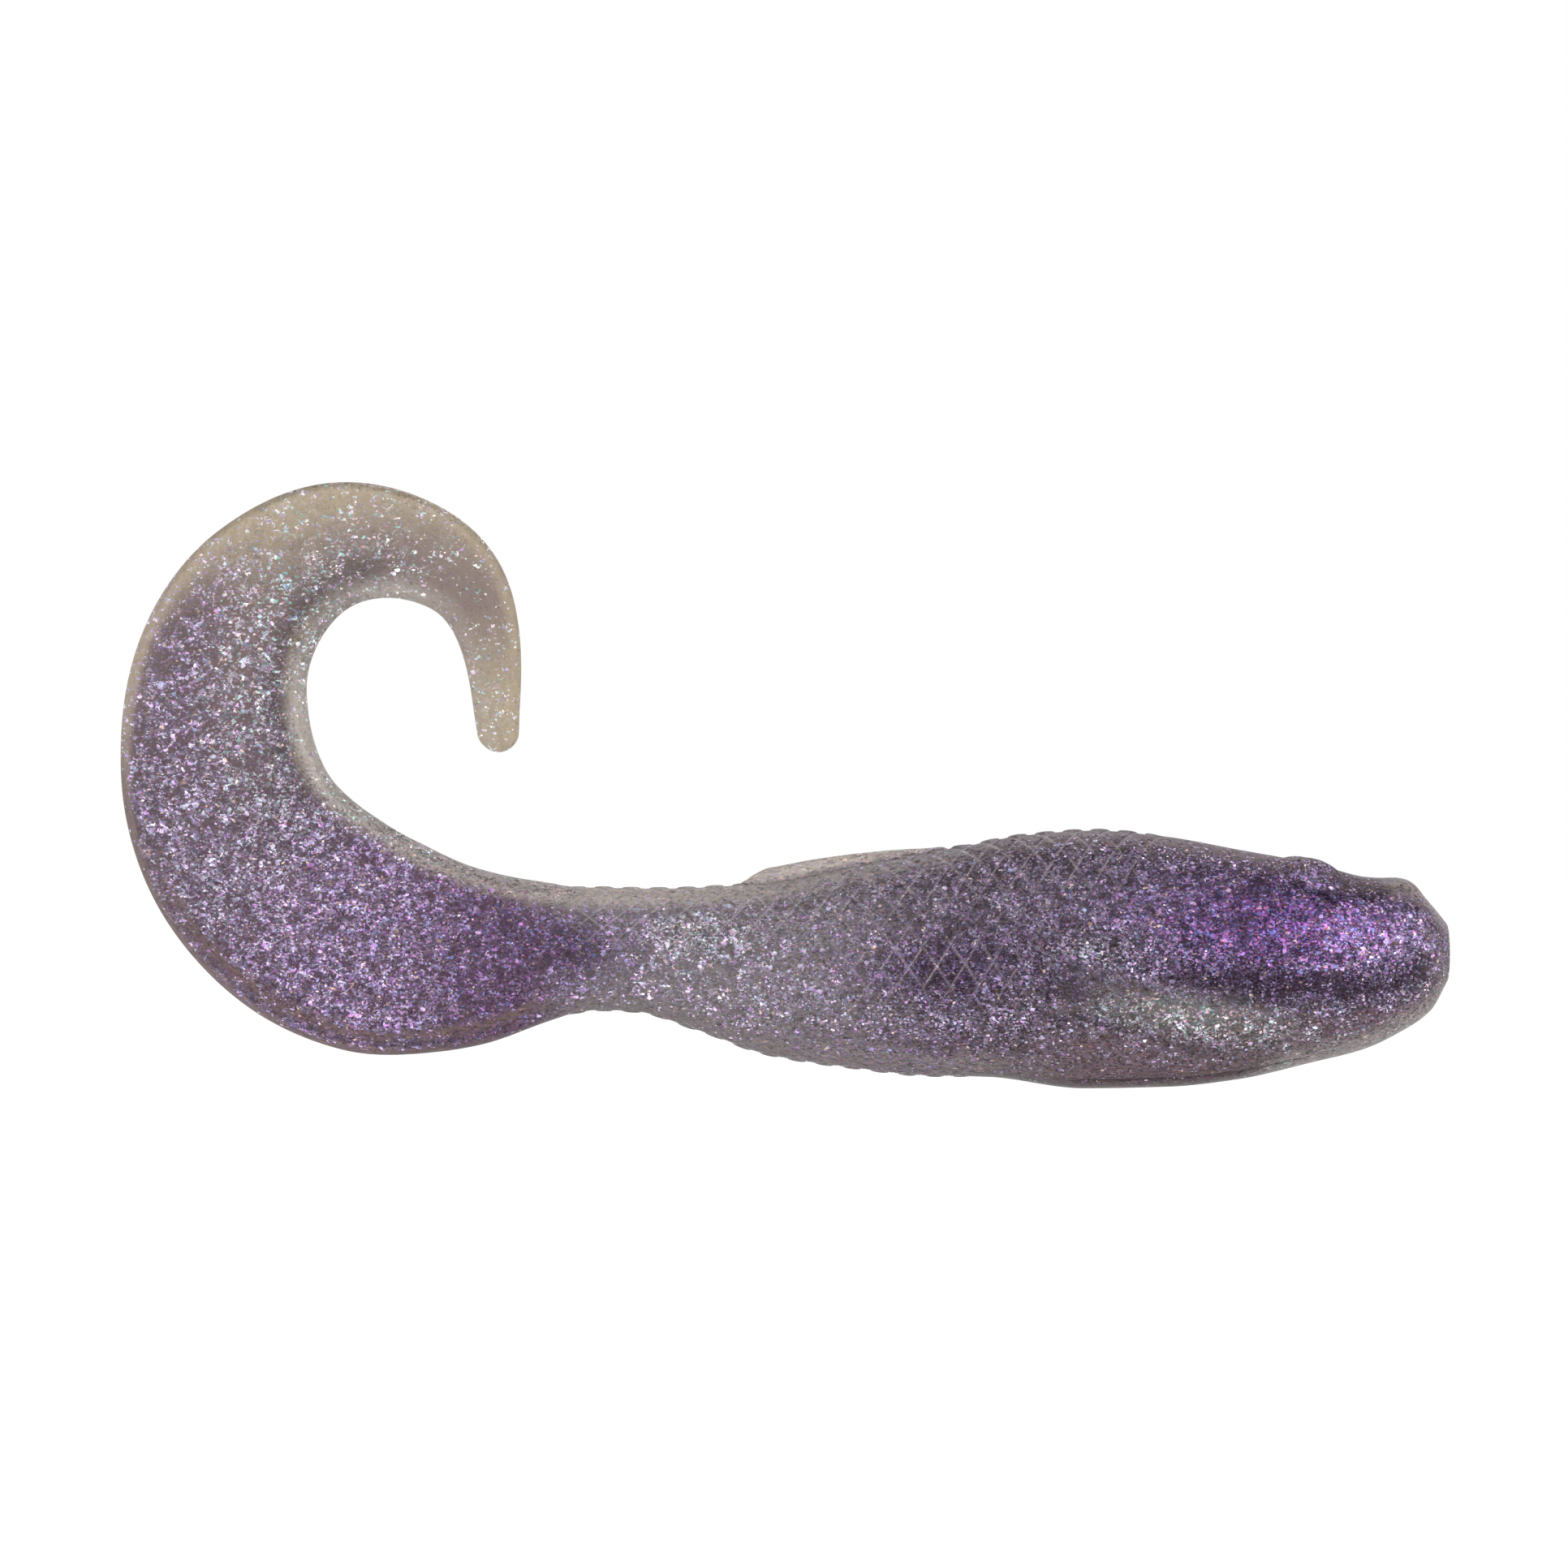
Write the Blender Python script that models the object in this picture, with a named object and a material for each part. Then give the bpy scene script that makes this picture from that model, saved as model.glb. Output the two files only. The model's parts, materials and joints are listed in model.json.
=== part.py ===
"""A soft plastic curly-tail swimbait, 127 mm long, as a Blender model.

The lure is one poured moulding. It is built here as the regions that the mould forms, cut where
the soft plastic flexes. Each cut is a knuckle: the region behind ends in a round nose that turns
inside a hollow of the region ahead, about an axis through the middle of the lure.

Metres, +X towards the nose, +Z towards the back, origin at the middle of the flat nose face.
Everything below is worked out in millimetres and scaled once, in make_object.
"""

from math import cos, pi, radians, sin, sqrt

import bpy
import numpy as np
from mathutils import Matrix, Vector

MM = 0.001

# Overall sizes
BODY_LENGTH = 84.0  # nose face to where the flat tail begins
BODY_DEPTH = 24.6  # belly to back at the shoulder
BODY_WIDTH = 15.6  # side to side at the shoulder
TAIL_BACK = 34.0  # how far the middle line of the curl runs behind the body
TAIL_UP = 38.9  # how high the middle line of the curl rises
BLADE_WIDTH = 22.2  # the tail blade across its widest part
BLADE_ROOT_THICKNESS = 5.2  # the tail where it leaves the body
BLADE_THICKNESS = 2.2  # the middle of the blade
TIP_THICKNESS = 1.5  # the end of the curl
TIP_RADIUS = 1.8  # the rounded end of the curl
TIP_CUT = 0.02  # left off the curl's end, where its rounding would shrink to a point

# Moulded features
FIN_START = 0.552 * BODY_LENGTH  # where the back dips for the fin
FIN_END = 0.793 * BODY_LENGTH
FIN_THICKNESS = 1.5
FIN_FRONT_HEIGHT = 0.55
FIN_REAR_HEIGHT = 1.35
FIN_FRONT_RAMP = (0.08, 0.40)  # share of its length over which it rises, and the height it starts at
FIN_REAR_RAMP = (0.12, 0.15)  # the same for its rear end
FIN_SHOULDER = (0.55, 0.70)  # where its side bends in: shares of its half thickness and its height
EYE_PLACE = 0.157 * BODY_LENGTH
EYE_LENGTH = 5.4
EYE_WIDTH = 2.8
EYE_HEIGHT = 1.0
EYE_LEVEL = 0.86  # from 0 at the belly to 1 at the back
EYE_TILT = 0.06
EYE_ROUNDING = 0.8  # the power of a pad's dome: less has a flatter top and a steeper edge
NOSTRIL_PLACE = 0.062 * BODY_LENGTH
NOSTRIL_LENGTH = 3.2
NOSTRIL_WIDTH = 2.4
NOSTRIL_HEIGHT = 0.5
NOSTRIL_LEVEL = 0.84
GILL_END = 0.457 * BODY_LENGTH  # the blunt rear edge of the gill cover
GILL_LENGTH = 22.0
GILL_WIDTH = 4.6
GILL_HEIGHT = 1.0
GILL_LEVEL = 0.325
GILL_TILT = radians(14.5)  # the gill cover runs down towards the jaw
GILL_ROUNDING = 0.6
GILL_FLARE = 0.25  # how much wider it is at its rear than at its middle

# Knuckles
KNUCKLE_RATIO = 1.16  # knuckle radius to half the lure's thickness there
SMALLEST_KNUCKLE = 1.3
GAP = 0.3  # between neighbouring regions
FIN_SPLIT = 0.9  # between the two halves of the fin, at the hinge
KNUCKLE_REACH = BODY_WIDTH / 2 * sqrt(KNUCKLE_RATIO**2 - 1)  # how far its rim lies ahead of a hinge
NECK = GILL_END + KNUCKLE_REACH
WAIST = (FIN_START + FIN_END) / 2
REAR = FIN_END + 0.036 * BODY_LENGTH
WRIST = 0.964 * BODY_LENGTH
BODY_HINGES = (NECK, WAIST, REAR, WRIST)
BLADE_REGIONS = 8
WRIST_LENGTH = 9.5  # from the last body hinge to the first blade hinge

# Mesh fineness
LEVELS = 14  # steps from belly to back
RING_STEP = 2.6  # along the lure
CAP_STEPS = 6  # steps across a knuckle
PAD_ROUNDS = 4  # rings of a raised pad
PAD_SPOKES = 20  # points round a raised pad
FIN_STEPS = 10  # along each half of the fin
HALVINGS = 40  # steps in the search for a knuckle's rim

# Shapes, each as points of (share of the length, share of the size)
BACK = [
    (0.0, 0.106), (0.019, 0.187), (0.038, 0.252), (0.060, 0.278), (0.094, 0.292), (0.13, 0.325),
    (0.168, 0.358), (0.24, 0.402), (0.315, 0.443), (0.40, 0.468), (0.48, 0.449), (0.56, 0.397),
    (0.68, 0.325), (0.79, 0.257), (0.89, 0.240), (1.0, 0.250),
]
BELLY = [
    (0.0, 0.114), (0.019, 0.224), (0.056, 0.313), (0.094, 0.376), (0.15, 0.430), (0.24, 0.500),
    (0.315, 0.525), (0.41, 0.529), (0.52, 0.492), (0.60, 0.484), (0.67, 0.455), (0.78, 0.388),
    (0.85, 0.301), (0.925, 0.230), (0.965, 0.228), (1.0, 0.246),
]
FLANK = [
    (0.0, 0.46), (0.02, 0.66), (0.06, 0.82), (0.11, 0.92), (0.18, 0.97), (0.27, 0.99), (0.38, 1.0),
    (0.50, 0.93), (0.62, 0.79), (0.74, 0.64), (0.86, 0.48), (0.95, 0.37), (1.0, 0.333),
]
CURL = [
    (0.0, 0.0), (0.27, -0.016), (0.535, 0.022), (0.75, 0.116), (0.912, 0.272), (0.996, 0.50),
    (0.982, 0.713), (0.876, 0.884), (0.69, 0.992), (0.459, 0.996), (0.294, 0.905), (0.222, 0.754),
    (0.206, 0.62), (0.203, 0.49),
]
TAPER = [
    (0.0, 0.55), (0.04, 0.64), (0.092, 0.775), (0.185, 0.955), (0.26, 1.0), (0.33, 0.98),
    (0.40, 0.93), (0.46, 0.855), (0.53, 0.77), (0.607, 0.676), (0.70, 0.53), (0.80, 0.40),
    (0.88, 0.275), (0.942, 0.212), (1.0, 0.165),
]
BOXINESS = [(0.0, 0.60), (0.2, 0.72), (0.5, 0.85), (0.85, 0.85), (1.0, 0.70)]
BLADE_BOXINESS = 0.3  # of the blade's section
LEAN_IN_START = 0.75  # share of the body from which its flanks lean in to the blade's root
CENTRING = 0.1  # share of the tail over which it settles evenly about its middle line
FLATTENING = 0.12  # share of the tail over which its section takes the blade's boxiness


def smooth_law(points):
    """A smooth function through the points that never swings past them."""
    at, value = np.array(points, float).T
    step = np.diff(at)
    rise = np.diff(value) / step
    slope = np.concatenate(([rise[0]], np.zeros(len(at) - 2), [rise[-1]]))
    for i in range(1, len(at) - 1):
        if rise[i - 1] * rise[i] > 0:
            before = 2 * step[i] + step[i - 1]
            after = step[i] + 2 * step[i - 1]
            slope[i] = (before + after) / (before / rise[i - 1] + after / rise[i])

    def law(x):
        i = int(np.clip(np.searchsorted(at, x) - 1, 0, len(step) - 1))
        t = min(max((x - at[i]) / step[i], 0.0), 1.0)
        bend = t * t * (3 - 2 * t)
        lift = step[i] * (slope[i] * t * (1 - t) ** 2 - slope[i + 1] * t * t * (1 - t))
        return value[i] + (value[i + 1] - value[i]) * bend + lift

    return law


def smooth_curve(points, start_direction, samples=1500):
    """Points evenly along a curve of even bend through the given points, with their distances."""
    points = np.array(points, float)
    t = np.concatenate(([0.0], np.cumsum(np.linalg.norm(np.diff(points, axis=0), axis=1))))
    n = len(t)
    step = np.diff(t)
    matrix = np.zeros((n, n))
    right = np.zeros((n, 2))
    matrix[0, 0] = 1.0
    right[0] = start_direction
    matrix[-1, -2:] = (1.0, 2.0)
    right[-1] = 3 * (points[-1] - points[-2]) / step[-1]
    for i in range(1, n - 1):
        matrix[i, i - 1 : i + 2] = (step[i], 2 * (step[i - 1] + step[i]), step[i - 1])
        right[i] = 3 * (
            step[i] * (points[i] - points[i - 1]) / step[i - 1]
            + step[i - 1] * (points[i + 1] - points[i]) / step[i]
        )
    slope = np.linalg.solve(matrix, right)
    at = np.linspace(0.0, t[-1], samples)
    i = np.clip(np.searchsorted(t, at) - 1, 0, n - 2)
    h = step[i][:, None]
    u = ((at - t[i]) / step[i])[:, None]
    bend = u * u * (3 - 2 * u)
    lift = h * (slope[i] * u * (1 - u) ** 2 - slope[i + 1] * u * u * (1 - u))
    curve = points[i] + (points[i + 1] - points[i]) * bend + lift
    along = np.concatenate(([0.0], np.cumsum(np.linalg.norm(np.diff(curve, axis=0), axis=1))))
    return along, curve


back_law = smooth_law(BACK)
belly_law = smooth_law(BELLY)
flank_law = smooth_law(FLANK)
taper_law = smooth_law(TAPER)
boxiness_law = smooth_law(BOXINESS)
curl_points = [(-BODY_LENGTH - TAIL_BACK * back, TAIL_UP * up) for back, up in CURL]
CURL_ALONG, CURL_LINE = smooth_curve(curl_points, (-1.0, 0.0))
TAIL_LENGTH = float(CURL_ALONG[-1])
LURE_LENGTH = BODY_LENGTH + TAIL_LENGTH
blade_thickness_law = smooth_law(
    [
        (0.0, BLADE_ROOT_THICKNESS), (0.04, 0.82 * BLADE_ROOT_THICKNESS),
        (0.16, 1.22 * BLADE_THICKNESS), (0.4, BLADE_THICKNESS),
        (0.75, (BLADE_THICKNESS + TIP_THICKNESS) / 2), (1.0, TIP_THICKNESS),
    ]
)


def middle(s):
    """The lure's middle line at the distance s from the nose, as (x, z)."""
    if s <= BODY_LENGTH:
        return np.array((-s, 0.0))
    along = s - BODY_LENGTH
    return np.array([np.interp(along, CURL_ALONG, CURL_LINE[:, i]) for i in (0, 1)])


def direction(s):
    """The way the middle line runs at s, away from the nose."""
    reach = 0.25
    low = middle(max(s - reach, 0.0))
    high = middle(min(s + reach, LURE_LENGTH))
    return (high - low) / np.linalg.norm(high - low)


def across(s):
    """The way from belly to back at s, square to the middle line."""
    x, z = direction(s)
    return np.array((z, -x))


def tail_share(s):
    return (s - BODY_LENGTH) / TAIL_LENGTH


def edges(s):
    """How far the lower and the upper edge lie from the middle line at s."""
    if s <= BODY_LENGTH:
        share = s / BODY_LENGTH
        return -BODY_DEPTH * belly_law(share), BODY_DEPTH * back_law(share)
    half = BLADE_WIDTH / 2 * taper_law(tail_share(s))
    short = TIP_RADIUS - (LURE_LENGTH - s)
    if short > 0:
        half *= sqrt(max(1 - (short / TIP_RADIUS) ** 2, 0.0))
    offset = BODY_DEPTH * (BACK[-1][1] - BELLY[-1][1]) / 2
    offset *= 1 - min(tail_share(s) / CENTRING, 1.0)
    return offset - half, offset + half


def half_thickness(s):
    """Half the lure's side-to-side thickness at s, where it is thickest."""
    if s <= BODY_LENGTH:
        body = BODY_WIDTH / 2 * flank_law(s / BODY_LENGTH)
        lean_in = BLADE_ROOT_THICKNESS / 2 - BODY_WIDTH / 2 * FLANK[-1][1]
        return body + lean_in * max(s / BODY_LENGTH - LEAN_IN_START, 0.0) / (1 - LEAN_IN_START)
    return blade_thickness_law(tail_share(s)) / 2


def boxiness(s):
    """The power of the section's rounding: 1 is an ellipse, and less is squarer."""
    if s <= BODY_LENGTH:
        return boxiness_law(s / BODY_LENGTH)
    left = 1 - min(tail_share(s) / FLATTENING, 1.0)
    return BLADE_BOXINESS + (BOXINESS[-1][1] - BLADE_BOXINESS) * left**2


def surface(s, u, side):
    """A point of the skin: u runs from 0 at the lower edge to 1 at the upper one."""
    low, high = edges(s)
    level = low + (high - low) * (1 - cos(pi * u)) / 2
    x, z = middle(s) + across(s) * level
    thick = half_thickness(s) * max(sin(pi * u), 0.0) ** boxiness(s)
    return Vector((x, side * thick, z))


def outward(s, u, side):
    """The skin's outward direction at a point of it."""
    small_s, small_u = 0.2, 0.01
    along = surface(s + small_s, u, side) - surface(s - small_s, u, side)
    up = surface(s, u + small_u, side) - surface(s, u - small_u, side)
    return (along.cross(up) * side).normalized()


def knuckle_radius(s):
    return max(KNUCKLE_RATIO * half_thickness(s), SMALLEST_KNUCKLE)


def knuckle_place(hinge, radius, u):
    """Where, along the lure, the level u of the skin meets the hinge's round of that radius."""
    axis, ahead = middle(hinge), -direction(hinge)
    near, far = hinge, hinge - 2.0 * radius
    for _ in range(HALVINGS):
        s = (near + far) / 2
        point = surface(s, u, 1)
        reach = float(np.dot((point.x - axis[0], point.z - axis[1]), ahead))
        if reach * reach + point.y * point.y < radius * radius:
            near = s
        else:
            far = s
    return (near + far) / 2


def cap_point(hinge, radius, rim, y):
    """The point of the round at the rim point's level and the given y."""
    axis, ahead = middle(hinge), -direction(hinge)
    offset = np.array((rim.x, rim.z)) - axis
    level = offset - ahead * np.dot(offset, ahead)
    x, z = axis + level + ahead * sqrt(max(radius * radius - y * y, 0.0))
    return Vector((x, y, z))


class Region:
    """A closed solid of the lure between two ends. An end is a flat at s, or a hinge's round."""

    def __init__(self, start, end, front_radius=0.0, rear_radius=0.0):
        self.start, self.end = start, end
        self.front_radius, self.rear_radius = front_radius, rear_radius
        self.points, self.faces = [], []
        self.build()

    def place(self, hinge, radius, u):
        return knuckle_place(hinge, radius, u) if radius else hinge

    def build(self):
        levels = [j / LEVELS for j in range(LEVELS + 1)]
        starts = [self.place(self.start, self.front_radius, u) for u in levels]
        ends = [self.place(self.end, self.rear_radius, u) for u in levels]
        count = max(3, round((self.end - self.start) / RING_STEP))
        shares = [i / count for i in range(count + 1)]
        if not self.rear_radius:
            shares = [sin(pi / 2 * share) for share in shares]
        rings = [self.ring(levels, starts, ends, share) for share in shares]
        for ring, following in zip(rings, rings[1:]):
            for a in range(2 * LEVELS):
                b = (a + 1) % (2 * LEVELS)
                self.faces.append((ring[a], following[a], following[b], ring[b]))
        self.cap(rings[0], self.start, self.front_radius, flip=False)
        self.cap(rings[-1], self.end, self.rear_radius, flip=True)

    def ring(self, levels, starts, ends, share):
        """Indices of one ring: up the +Y side from the lower edge, and down the other side."""
        places = [a + (b - a) * share for a, b in zip(starts, ends)]
        up = [surface(s, u, 1) for s, u in zip(places, levels)]
        down = [Vector((p.x, -p.y, p.z)) for p in reversed(up[1:-1])]
        up[0].y = up[-1].y = 0.0
        first = len(self.points)
        self.points += up + down
        return list(range(first, len(self.points)))

    def cap(self, ring, hinge, radius, flip):
        rows = [[ring[0]]]
        for j in range(1, LEVELS):
            right, left = ring[j], ring[2 * LEVELS - j]
            rim = self.points[right]
            row = [left]
            for i in range(1, CAP_STEPS):
                y = rim.y * (2 * i / CAP_STEPS - 1)
                inner = cap_point(hinge, radius, rim, y) if radius else Vector((rim.x, y, rim.z))
                row.append(len(self.points))
                self.points.append(inner)
            rows.append(row + [right])
        rows.append([ring[LEVELS]])
        for low, high in zip(rows, rows[1:]):
            self.strip(low, high, flip)

    def strip(self, low, high, flip):
        if len(low) == 1 or len(high) == 1:
            point, row = (low[0], high) if len(low) == 1 else (high[0], low[::-1])
            faces = [(point, b, a) for a, b in zip(row, row[1:])]
        else:
            faces = [
                (low[i], low[i + 1], high[i + 1], high[i])
                for i in range(len(low) - 1)
            ]
        self.faces += [f[::-1] if flip else f for f in faces]


def skin_pad(centre_s, centre_u, length, width, height, tilt, side, power=1.0, flare=0.0):
    """A raised pad that floats GAP over the skin. Flare makes its rear wider than its front."""
    rounds, spokes = PAD_ROUNDS, PAD_SPOKES
    low, high = edges(centre_s)
    per_u = (high - low) * pi / 2 * sin(pi * centre_u)
    points, faces = [], []
    for layer in (0, 1):
        for r in range(rounds + (1 - layer)):
            share = r / rounds
            for k in range(spokes if r else 1):
                turn = 2 * pi * k / spokes
                back = cos(turn) * share * length / 2
                up = sin(turn) * share * width / 2 * (1 + flare * cos(turn))
                s = centre_s + back * cos(tilt) - up * sin(tilt)
                u = centre_u + (back * sin(tilt) + up * cos(tilt)) / per_u
                lift = GAP + layer * height * (1 - share * share) ** power
                points.append(surface(s, u, side) + outward(s, u, side) * lift)
    under = [[0]] + [
        [1 + (r - 1) * spokes + k for k in range(spokes)] for r in range(1, rounds + 1)
    ]
    base = 1 + rounds * spokes
    over = [[base]] + [
        [base + 1 + (r - 1) * spokes + k for k in range(spokes)] for r in range(1, rounds)
    ]
    over.append(under[-1])
    for rings, turned in ((under, side > 0), (over, side < 0)):
        for inner, outer in zip(rings, rings[1:]):
            for k in range(spokes):
                n = (k + 1) % spokes
                loop = (
                    (inner[0], outer[k], outer[n])
                    if len(inner) == 1
                    else (inner[k], outer[k], outer[n], inner[n])
                )
                faces.append(loop[::-1] if turned else loop)
    return points, faces


def fin_height(s):
    share = (s - FIN_START) / (FIN_END - FIN_START)
    rise = FIN_FRONT_HEIGHT + (FIN_REAR_HEIGHT - FIN_FRONT_HEIGHT) * share
    front = share / FIN_FRONT_RAMP[0] + FIN_FRONT_RAMP[1]
    rear = (1 - share) / FIN_REAR_RAMP[0] + FIN_REAR_RAMP[1]
    return rise * min(1.0, rear, front)


def fin_blade(start, end):
    """A thin strip that stands GAP over the back from start to end, thinner at its top."""
    points, faces = [], []
    half = FIN_THICKNESS / 2
    bend = FIN_SHOULDER[0] * half
    for i in range(FIN_STEPS + 1):
        s = start + (end - start) * i / FIN_STEPS
        x, z = middle(s) + across(s) * (edges(s)[1] + GAP)
        tall = fin_height(s)
        shoulder = FIN_SHOULDER[1] * tall
        profile = ((half, 0.0), (bend, shoulder), (0.0, tall), (-bend, shoulder), (-half, 0.0))
        points += [Vector((x, y, z + h)) for y, h in profile]
    ring = len(profile)
    for i in range(FIN_STEPS):
        for k in range(ring):
            a, b = i * ring + k, i * ring + (k + 1) % ring
            faces.append((a, a + ring, b + ring, b))
    faces.append(tuple(range(ring)))
    faces.append(tuple(range(len(points) - 1, len(points) - ring - 1, -1)))
    return points, faces


def material(name, colour, roughness):
    made = bpy.data.materials.new(name)
    made.use_nodes = True
    shader = made.node_tree.nodes["Principled BSDF"]
    shader.inputs["Base Color"].default_value = (*colour, 1.0)
    shader.inputs["Roughness"].default_value = roughness
    shader.inputs["Metallic"].default_value = 0.15
    return made


def add_hinge(name, s, upright, parent):
    """An empty on a hinge's axis, its own Z along the axis."""
    x, z = middle(s)
    axis = Vector((0, 0, 1)) if upright else Vector((across(s)[0], 0, across(s)[1]))
    turn = axis.to_track_quat("Z", "Y").to_matrix().to_4x4()
    place = Matrix.Translation(Vector((x, 0, z)) * MM) @ turn
    empty = bpy.data.objects.new(name, None)
    empty.empty_display_size = 0.01
    bpy.context.scene.collection.objects.link(empty)
    attach(empty, parent, place)
    return empty, place


def attach(item, parent, place):
    """Puts an item at its world place under its parent, given as (object, world place)."""
    if parent:
        item.parent = parent[0]
        item.matrix_basis = parent[1].inverted() @ place
    else:
        item.matrix_basis = place


def make_object(name, points, faces, look, parent):
    place = parent[1] if parent else Matrix.Identity(4)
    to_local = place.inverted()
    mesh = bpy.data.meshes.new(name)
    mesh.from_pydata([to_local @ (p * MM) for p in points], [], faces)
    mesh.shade_smooth()
    mesh.set_sharp_from_angle(angle=radians(40))
    mesh.materials.append(look)
    made = bpy.data.objects.new(name, mesh)
    bpy.context.scene.collection.objects.link(made)
    attach(made, parent, place)
    return made


def region_plan():
    """Every region from nose to tail tip, as (name, start hinge or flat, end hinge or flat)."""
    first_blade = BODY_HINGES[-1] + WRIST_LENGTH
    stretch = (LURE_LENGTH - first_blade) / BLADE_REGIONS
    blade = [first_blade + stretch * i for i in range(BLADE_REGIONS)]
    names = ["head", "front_body", "mid_body", "rear_body", "tail_wrist"]
    names += [f"tail_blade_{i + 1}" for i in range(BLADE_REGIONS - 1)] + ["tail_tip"]
    cuts = [0.0, *BODY_HINGES, *blade, LURE_LENGTH - TIP_CUT]
    return list(zip(names, cuts, cuts[1:]))


def build():
    for item in list(bpy.data.objects):
        bpy.data.objects.remove(item)
    violet = material("violet_flake", (0.20, 0.14, 0.27), 0.35)
    smoke = material("smoke_flake", (0.20, 0.17, 0.20), 0.35)
    purple = material("purple_blade", (0.23, 0.17, 0.26), 0.35)
    clear = material("clear_tip", (0.40, 0.33, 0.25), 0.35)
    pale = material("pale_fin", (0.45, 0.40, 0.37), 0.4)
    silver = material("silver_gill", (0.27, 0.26, 0.29), 0.35)
    eye = material("eye_dome", (0.23, 0.15, 0.19), 0.3)

    looks = [violet, smoke, smoke, smoke, smoke] + [purple] * (BLADE_REGIONS - 1) + [clear]
    hinges = {}
    parent = None
    plan = region_plan()
    for (name, start, end), look in zip(plan, looks):
        front = knuckle_radius(start) if name != "head" else 0.0
        rear = knuckle_radius(end) + GAP if name != "tail_tip" else 0.0
        if name != "head":
            parent = add_hinge(f"{name}_axis", start, start in BODY_HINGES, parent)
        hinges[name] = parent
        region = Region(start, end, front, rear)
        make_object(name, region.points, region.faces, look, parent)

    fin = fin_blade(FIN_START, WAIST - FIN_SPLIT / 2)
    make_object("fin_front", *fin, pale, hinges["front_body"])
    fin = fin_blade(WAIST + FIN_SPLIT / 2, FIN_END)
    make_object("fin_rear", *fin, pale, hinges["mid_body"])

    gill_middle = GILL_END - GILL_LENGTH / 2
    for side, suffix in ((1, "left"), (-1, "right")):
        pad = skin_pad(
            EYE_PLACE, EYE_LEVEL, EYE_LENGTH, EYE_WIDTH, EYE_HEIGHT, EYE_TILT, side, EYE_ROUNDING
        )
        make_object(f"eye_{suffix}", *pad, eye, None)
        pad = skin_pad(
            NOSTRIL_PLACE, NOSTRIL_LEVEL, NOSTRIL_LENGTH, NOSTRIL_WIDTH, NOSTRIL_HEIGHT, 0.0, side
        )
        make_object(f"nostril_{suffix}", *pad, violet, None)
        pad = skin_pad(
            gill_middle, GILL_LEVEL, GILL_LENGTH, GILL_WIDTH, GILL_HEIGHT, GILL_TILT, side,
            GILL_ROUNDING, GILL_FLARE,
        )
        make_object(f"gill_cover_{suffix}", *pad, silver, None)


build()
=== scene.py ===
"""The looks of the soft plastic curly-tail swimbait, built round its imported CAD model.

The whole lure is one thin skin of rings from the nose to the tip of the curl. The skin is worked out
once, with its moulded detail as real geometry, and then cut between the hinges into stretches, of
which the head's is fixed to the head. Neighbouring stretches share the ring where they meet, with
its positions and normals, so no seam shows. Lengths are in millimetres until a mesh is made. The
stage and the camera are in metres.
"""

import json

import bpy
import numpy as np
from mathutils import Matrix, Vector


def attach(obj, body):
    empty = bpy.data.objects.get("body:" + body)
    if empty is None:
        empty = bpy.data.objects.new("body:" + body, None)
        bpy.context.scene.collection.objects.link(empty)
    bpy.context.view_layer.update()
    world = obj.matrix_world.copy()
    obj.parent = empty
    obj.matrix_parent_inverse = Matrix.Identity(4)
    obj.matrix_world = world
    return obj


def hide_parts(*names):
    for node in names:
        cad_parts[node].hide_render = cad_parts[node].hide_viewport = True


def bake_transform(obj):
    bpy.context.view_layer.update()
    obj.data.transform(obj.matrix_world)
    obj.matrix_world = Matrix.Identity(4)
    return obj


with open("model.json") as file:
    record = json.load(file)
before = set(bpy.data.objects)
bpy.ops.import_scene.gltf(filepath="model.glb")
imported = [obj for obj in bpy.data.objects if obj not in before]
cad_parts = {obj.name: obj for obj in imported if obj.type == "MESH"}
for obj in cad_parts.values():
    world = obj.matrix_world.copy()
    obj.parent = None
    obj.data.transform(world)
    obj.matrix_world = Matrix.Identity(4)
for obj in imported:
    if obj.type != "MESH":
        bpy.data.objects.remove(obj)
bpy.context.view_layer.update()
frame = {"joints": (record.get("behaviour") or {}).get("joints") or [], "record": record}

MM = 0.001

# The CAD model's sizes
BODY_LENGTH = 84.0
BODY_DEPTH = 24.6
BODY_WIDTH = 15.6
TAIL_BACK = 34.0
TAIL_UP = 38.9
BLADE_WIDTH = 22.2
ROOT_THICKNESS = 5.2
TIP_RADIUS = 1.8

# The CAD model's outlines: points of (share of the length, share of the size)
BACK = [  # the back's height over the middle line
    (0.0, 0.106), (0.019, 0.187), (0.038, 0.252), (0.060, 0.278), (0.094, 0.292), (0.13, 0.325),
    (0.168, 0.358), (0.24, 0.402), (0.315, 0.443), (0.40, 0.468), (0.48, 0.449), (0.56, 0.397),
    (0.68, 0.325), (0.79, 0.257), (0.89, 0.240), (1.0, 0.250),
]
BELLY = [  # the belly's depth below it
    (0.0, 0.114), (0.019, 0.224), (0.056, 0.313), (0.094, 0.376), (0.15, 0.430), (0.24, 0.500),
    (0.315, 0.525), (0.41, 0.529), (0.52, 0.492), (0.60, 0.484), (0.67, 0.455), (0.78, 0.388),
    (0.85, 0.301), (0.925, 0.230), (0.965, 0.228), (1.0, 0.246),
]
FLANK = [  # the body's width
    (0.0, 0.46), (0.02, 0.66), (0.06, 0.82), (0.11, 0.92), (0.18, 0.97), (0.27, 0.99), (0.38, 1.0),
    (0.50, 0.93), (0.62, 0.79), (0.74, 0.64), (0.86, 0.48), (0.95, 0.37), (1.0, 0.333),
]
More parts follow.
